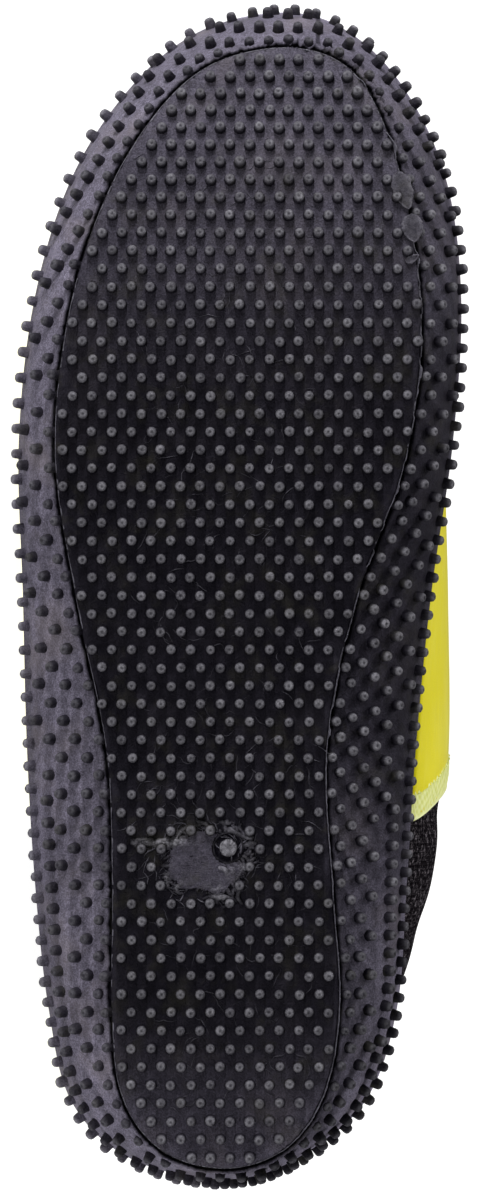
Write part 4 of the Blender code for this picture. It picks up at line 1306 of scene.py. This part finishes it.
def makeHem(side, name):
    # a turned hem of ribbed elastic along the panel's rear edge: a low arch across it, a bead
    # at its front edge, two crossed sets of slanting ribs, and a rear edge that wanders a little
    look = hemLook
    up = np.linspace(panelLook["lowLevel"], look["topLevel"], look["rows"])
    level, across = np.meshgrid(up, np.linspace(0, 1, look["columns"]), indexing="ij")
    wander = look["wander"] * noiseLine(61, look["rows"], 40)[:, None] * smoothStep(0.6, 1.0, across)
    folded = panelEdgeTurn(level) - look["tuck"] + (across + wander) * hemWidth(level)
    turn = folded if side < 0 else 360.0 - folded
    arch = np.sin(np.clip(across * look["archRun"], 0, 1) * math.pi) ** look["archPower"]
    sway = look["ribSway"] * np.sin(level * look["ribSwayPace"])
    ribs = np.sin(level * look["ribs"] + across * look["ribSlant"] + sway)
    sway = look["knotSway"] * np.sin(level * look["knotSwayPace"])
    knots = np.sin(level * look["knots"] - across * look["knotSlant"] + sway)
    bead = bell(across, look["beadAt"], look["beadWidth"])
    ripple = np.clip(ribs * 0.6 + knots * 0.6, -1, 1) * (1 - bead)
    thickness = panelLook["thickness"]
    archHeight = thickness * 0.85 + look["ribRise"] * (1 + 0.8 * ripple)
    height = shoe["gap"] + thickness * 0.2 + archHeight * arch
    points, faces = closedPad(turn, level, height + look["beadRise"] * bead)
    if side > 0:
        faces = faces[:, ::-1]
    # the hem's own pale colour, with a painted highlight on the bead and the ribs
    paleAndHighlight = 0.55 + 0.45 * bead + 0.26 * ripple
    edge = np.append(paleAndHighlight.ravel(), np.zeros(paleAndHighlight.size))
    makePiece(name, points, faces, [finishes["paleYellow"]], "vamp_panel",
              marks=dict(edge=edge))


stitchLook = dict(length=0.0021, pitch=0.0027, radius=0.00020, steps=5, sides=5)


def makeStitches(name, path, outward, finish, node):
    # each stitch is a bent capsule along the path: a small tube whose radius fades at its ends
    step = np.linalg.norm(np.diff(path, axis=0), axis=1)
    walked = np.concatenate([[0], np.cumsum(step)])
    count = int(walked[-1] // stitchLook["pitch"])
    start = (np.arange(count) + 0.2) * stitchLook["pitch"]
    share = np.linspace(0, 1, stitchLook["steps"])
    at = start[:, None] + share[None] * stitchLook["length"]
    line = np.stack([np.interp(at, walked, path[:, k]) for k in range(3)], axis=-1)
    up = np.stack([np.interp(at, walked, outward[:, k]) for k in range(3)], axis=-1)
    up /= np.linalg.norm(up, axis=-1, keepdims=True)
    line = line + up * (np.sin(share * math.pi) * stitchLook["radius"] * 0.9)[None, :, None]
    along = np.gradient(line, axis=1)
    along /= np.linalg.norm(along, axis=-1, keepdims=True)
    aside = np.cross(along, up)
    radius = stitchLook["radius"] * (0.35 + 0.65 * np.sin(share * math.pi) ** 0.5)
    angle = np.arange(stitchLook["sides"]) * 2 * math.pi / stitchLook["sides"]
    sideways = np.cos(angle)[:, None] * aside[:, :, None]
    upward = np.sin(angle)[:, None] * up[:, :, None]
    ring = (sideways + upward) * radius[None, :, None, None]
    points = line[:, :, None] + ring
    faces = tubeFaces(count, stitchLook["steps"], stitchLook["sides"], reverse=True)
    makePiece(name, points.reshape(-1, 3), faces, [finish], node)


def normalsAlong(turn, level):
    lifted = offsetGrid(turn, level, 0 * turn + 0.001)
    return (lifted - upperPoint(turn, level)) / 0.001


def makeVampStitches(side, name):
    level = np.linspace(1.06, 2.94, 260)
    folded = panelEdgeTurn(level) + hemWidth(level) * hemLook["seamShare"]
    turn = folded if side < 0 else 360.0 - folded
    path = offsetGrid(turn, level, 0 * level + shoe["gap"] + panelLook["thickness"] + 0.00012)
    outward = normalsAlong(turn, level)
    makeStitches(name, path, outward, finishes["limeThread"], "vamp_panel")


patchLook = dict(
    edgeTurn=45.0, lowLevel=1.03, topLevel=2.80, narrowing=0.34, cornerDrop=0.16,
    thickness=0.0009, beadRise=0.0002, edgeDrop=0.0005, columns=180, rows=60, seamInset=0.925,
    narrowFrom=0.45, beadAt=0.045, beadWidth=0.022, dropWidth=0.012,
)


def patchPlace(across, climb):
    # turn and level on the heel patch, which narrows upward and drops at its upper corners
    look = patchLook
    high = np.clip((climb - look["narrowFrom"]) / (1 - look["narrowFrom"]), 0, 1)
    narrow = 1 - look["narrowing"] * high**2
    level = look["lowLevel"] + (look["topLevel"] - look["lowLevel"]) * climb
    level = level - look["cornerDrop"] * np.abs(across) ** 3 * climb
    return np.mod(across * look["edgeTurn"] * narrow, 360.0), level


def makeHeelPatch():
    # a closed pad with a low bead just inside its edge
    look = patchLook
    across, climb = np.meshgrid(np.linspace(-1, 1, look["columns"]), np.linspace(0, 1, look["rows"]))
    turn, level = patchPlace(across, climb)
    margin = np.minimum(np.minimum(1 - np.abs(across), (1 - climb) * 1.4), 1.0)
    bead = bell(margin, look["beadAt"], look["beadWidth"])
    drop = np.exp(-(margin / look["dropWidth"]) ** 2)
    height = look["thickness"] + look["beadRise"] * bead - look["edgeDrop"] * drop
    points, faces = closedPad(turn, level, shoe["gap"] + height)
    edge = np.append((0.30 + 0.7 * bead).ravel(), np.zeros(bead.size))
    makePiece("heelPatch", points, faces, [finishes["paleYellow"]], "heel_patch",
              marks=dict(edge=edge))


def makeHeelStitches():
    # up one side of the heel patch, across its top and down the other side
    look = patchLook
    line = np.linspace(0, 1, 240)
    climb = np.where(line < 0.3, line / 0.3, np.where(line > 0.7, (1 - line) / 0.3, 1.0)) * 0.90 + 0.02
    turn, level = patchPlace(np.clip((line - 0.5) / 0.2, -1, 1) * look["seamInset"], climb)
    path = offsetGrid(turn, level, 0 * level + shoe["gap"] + look["thickness"] + 0.0001)
    outward = normalsAlong(turn, level)
    makeStitches("heelStitches", path, outward, finishes["limeThread"], "heel_patch")


bindingLook = dict(
    radius=0.0017, seat=0.0007, sides=16, ribs=150, ribSwell=0.035, squash=1.15, clothLength=0.29,
    seamLevel=2.90, seamTurn=84.0,
)


def makeBinding():
    # a bead around the collar: a circle carried along the edge, swollen a little by each rib
    look = bindingLook
    lastTurn, lastRing = shell["turn"][-1], shell["number"][-1]
    loop = np.flatnonzero(foldedTurn(lastTurn) <= shoe["collarTurn"])
    order = loop[np.argsort(np.mod(lastTurn[loop] + 180.0, 360.0))][:-1]
    edge = shell["points"][lastRing[order]]
    outward = shell["normals"][lastRing[order]]
    ahead = np.roll(edge, -1, axis=0) - np.roll(edge, 1, axis=0)
    away = np.cross(outward, ahead)
    away /= np.linalg.norm(away, axis=1, keepdims=True)
    centre = edge - outward * shoe["upperWall"] / 2 + away * (look["radius"] + look["seat"])
    angle = np.arange(look["sides"]) * 2 * math.pi / look["sides"]
    along = np.arange(len(order)) / len(order)
    swell = look["radius"] * (1 + look["ribSwell"] * np.sin(along * look["ribs"] * 2 * math.pi))[:, None]
    squash = np.where(np.sin(angle) < 0, look["squash"], 1.0)
    sideways = (swell * np.cos(angle)[None])[..., None] * outward[:, None]
    upward = (swell * (np.sin(angle) * squash)[None])[..., None] * away[:, None]
    tube = centre[:, None] + sideways + upward
    number = np.arange(len(order) * look["sides"]).reshape(len(order), look["sides"])
    faces = gridFaces(np.concatenate([number, number[:1]]))[:, ::-1]
    u = np.arange(len(order) + 1) / len(order) * look["clothLength"]
    v = np.arange(look["sides"] + 1) / look["sides"] * 2 * math.pi * look["radius"]
    grid = np.stack(np.meshgrid(u, v, indexing="ij"), axis=-1)
    uv = np.stack([grid[1:, :-1], grid[1:, 1:], grid[:-1, 1:], grid[:-1, :-1]], axis=2).reshape(-1, 2)
    makePiece("collarBand", tube.reshape(-1, 3), faces, [finishes["binding"]], "collar_binding",
              uv=uv)


def makeCollarStitches():
    turn = np.linspace(-bindingLook["seamTurn"], bindingLook["seamTurn"], 400)
    level = np.full(len(turn), bindingLook["seamLevel"])
    path = offsetGrid(turn, level, 0 * level + 0.0001)
    outward = normalsAlong(turn, level)
    makeStitches("collarStitches", path, outward, finishes["thread"], "collar_binding")


insoleLook = dict(thickness=0.0032, columns=360, strips=20, roundness=0.0005)
# shallow dishes under heel and ball: middle, reach and depth
dishes = [
    dict(x=0.045, y=-0.002, length=0.030, width=0.020, depth=0.0007),
    dict(x=0.185, y=0.003, length=0.034, width=0.026, depth=0.0006),
]


def makeInsole():
    # a flat sheet on the cup's floor with rounded edges, dished by the sum of two bells
    look = insoleLook
    reach = shoe["wallAtFoot"] / 2 + shoe["upperWall"] + 2 * shoe["gap"]
    turn = np.arange(look["columns"]) * 360.0 / look["columns"]
    rounded, thickness = look["roundness"], look["thickness"]

    def sheetBottom(x):
        return underside(x) + shoe["soleThickness"] + shoe["gap"]

    def ringAt(inset, rise):
        ring = cupInside(turn, 0 * turn, reach + inset)
        ring[:, 2] = sheetBottom(ring[:, 0]) + rise
        return ring

    rings = [
        ringAt(rounded, 0.0), ringAt(0.0, rounded),
        ringAt(0.0, thickness - rounded), ringAt(rounded, thickness),
    ]
    number = np.arange(len(rings) * len(turn)).reshape(len(rings), len(turn))
    points = np.concatenate(rings)
    shares = np.zeros(len(points))
    faces = gridFaces(number).tolist()
    points, shares, more = ladder(points, shares, number[0], sheetBottom, look["strips"])
    faces += [f[::-1] for f in more]
    start = len(points)
    points, shares, more = ladder(
        points, shares, number[-1], lambda x: sheetBottom(x) + thickness, look["strips"]
    )
    faces += more
    x, y = points[start:, 0], points[start:, 1]
    for dish in dishes:
        deep = bell(x, dish["x"], dish["length"]) * bell(y, dish["y"], dish["width"])
        points[start:, 2] -= dish["depth"] * deep
    makePiece("insoleSheet", points, faces, [finishes["insole"]], "insole")


makeUpper()
makeVampPanel()
makeHem(-1, "lateralHem")
makeHem(1, "medialHem")
makeVampStitches(-1, "lateralHemStitches")
makeVampStitches(1, "medialHemStitches")
makeHeelPatch()
makeHeelStitches()
makeBinding()
makeCollarStitches()
makeInsole()
say("upper made")

studio = dict(
    floorShade=0.34, floorGlow=0.97, floorHalf=4.0,
    worldShade=(1.0, 1.0, 1.0), worldStrength=0.155, skyStrength=1.0,
    distance=1.300, frameHeight=0.2832, aimX=0.1394, aimY=0.0020, sensor=36.0,
)


def makeFloor():
    half = studio["floorHalf"]
    mesh = bpy.data.meshes.new("studioFloor")
    corners = [(-half, -half, 0), (half, -half, 0), (half, half, 0), (-half, half, 0)]
    mesh.from_pydata(corners, [], [(0, 1, 2, 3)])
    finish = Finish("studioFloor", Roughness=0.9, Specular_IOR_Level=0.1)
    finish.shader.inputs["Base Color"].default_value = (studio["floorShade"],) * 3 + (1.0,)
    finish.shader.inputs["Emission Color"].default_value = (1.0, 1.0, 1.0, 1.0)
    finish.shader.inputs["Emission Strength"].default_value = studio["floorGlow"]
    mesh.materials.append(finish.material)
    floor = bpy.data.objects.new("studioFloor", mesh)
    bpy.context.scene.collection.objects.link(floor)


# name, place, what it points at, size and watts
lights = [
    ("toeLight", (-1.05, -0.56, 0.09), (-0.02, -0.03, 0.05), (0.50, 0.16), 18.0),
    ("backLight", (0.0, 0.85, 1.30), (0.0, 0.45, 0.0), (1.6, 1.2), 5.5),
    ("overheadLight", (-0.45, -0.06, 1.10), (-0.08, -0.02, 0.08), (0.60, 0.40), 6.5),
    ("heelLight", (1.10, -0.50, 0.03), (0.10, -0.03, 0.03), (0.40, 0.12), 8.0),
]


def makeLight(name, place, aim, size, power):
    light = bpy.data.lights.new(name, "AREA")
    light.shape = "RECTANGLE"
    light.size, light.size_y = size
    light.energy = power
    holder = bpy.data.objects.new(name, light)
    holder.location = place
    holder.rotation_euler = (Vector(aim) - Vector(place)).to_track_quat("-Z", "Y").to_euler()
    bpy.context.scene.collection.objects.link(holder)


def makeStudio():
    # the world lights the shoe weakly, and the camera alone sees it white
    makeFloor()
    world = bpy.data.worlds.new("studioWorld")
    world.use_nodes = True
    background = world.node_tree.nodes["Background"]
    background.inputs["Color"].default_value = (*studio["worldShade"], 1.0)
    seen = Value(world.node_tree, world.node_tree.nodes.new("ShaderNodeLightPath").outputs["Is Camera Ray"])
    strength = seen * (studio["skyStrength"] - studio["worldStrength"]) + studio["worldStrength"]
    world.node_tree.links.new(strength.socket, background.inputs["Strength"])
    bpy.context.scene.world = world
    bpy.context.scene.view_settings.view_transform = "Standard"
    for row in lights:
        makeLight(*row)


def makeCamera():
    # square to the sole, with the toe up and the medial side on the right
    aim = toWorld(np.array([studio["aimX"], studio["aimY"], 0.0]))
    place = aim - shoeUp * studio["distance"]
    camera = bpy.data.cameras.new("camera")
    camera.sensor_width = studio["sensor"]
    camera.lens = studio["sensor"] * studio["distance"] / studio["frameHeight"]
    camera.clip_start, camera.clip_end = 0.05, 50.0
    holder = bpy.data.objects.new("camera", camera)
    turned = Matrix.Identity(4)
    for row in range(3):
        turned[row][0], turned[row][1], turned[row][2] = shoeMedial[row], shoeAhead[row], -shoeUp[row]
        turned[row][3] = place[row]
    holder.matrix_world = turned
    bpy.context.scene.collection.objects.link(holder)
    bpy.context.scene.camera = holder


makeStudio()
makeCamera()
say("studio made")
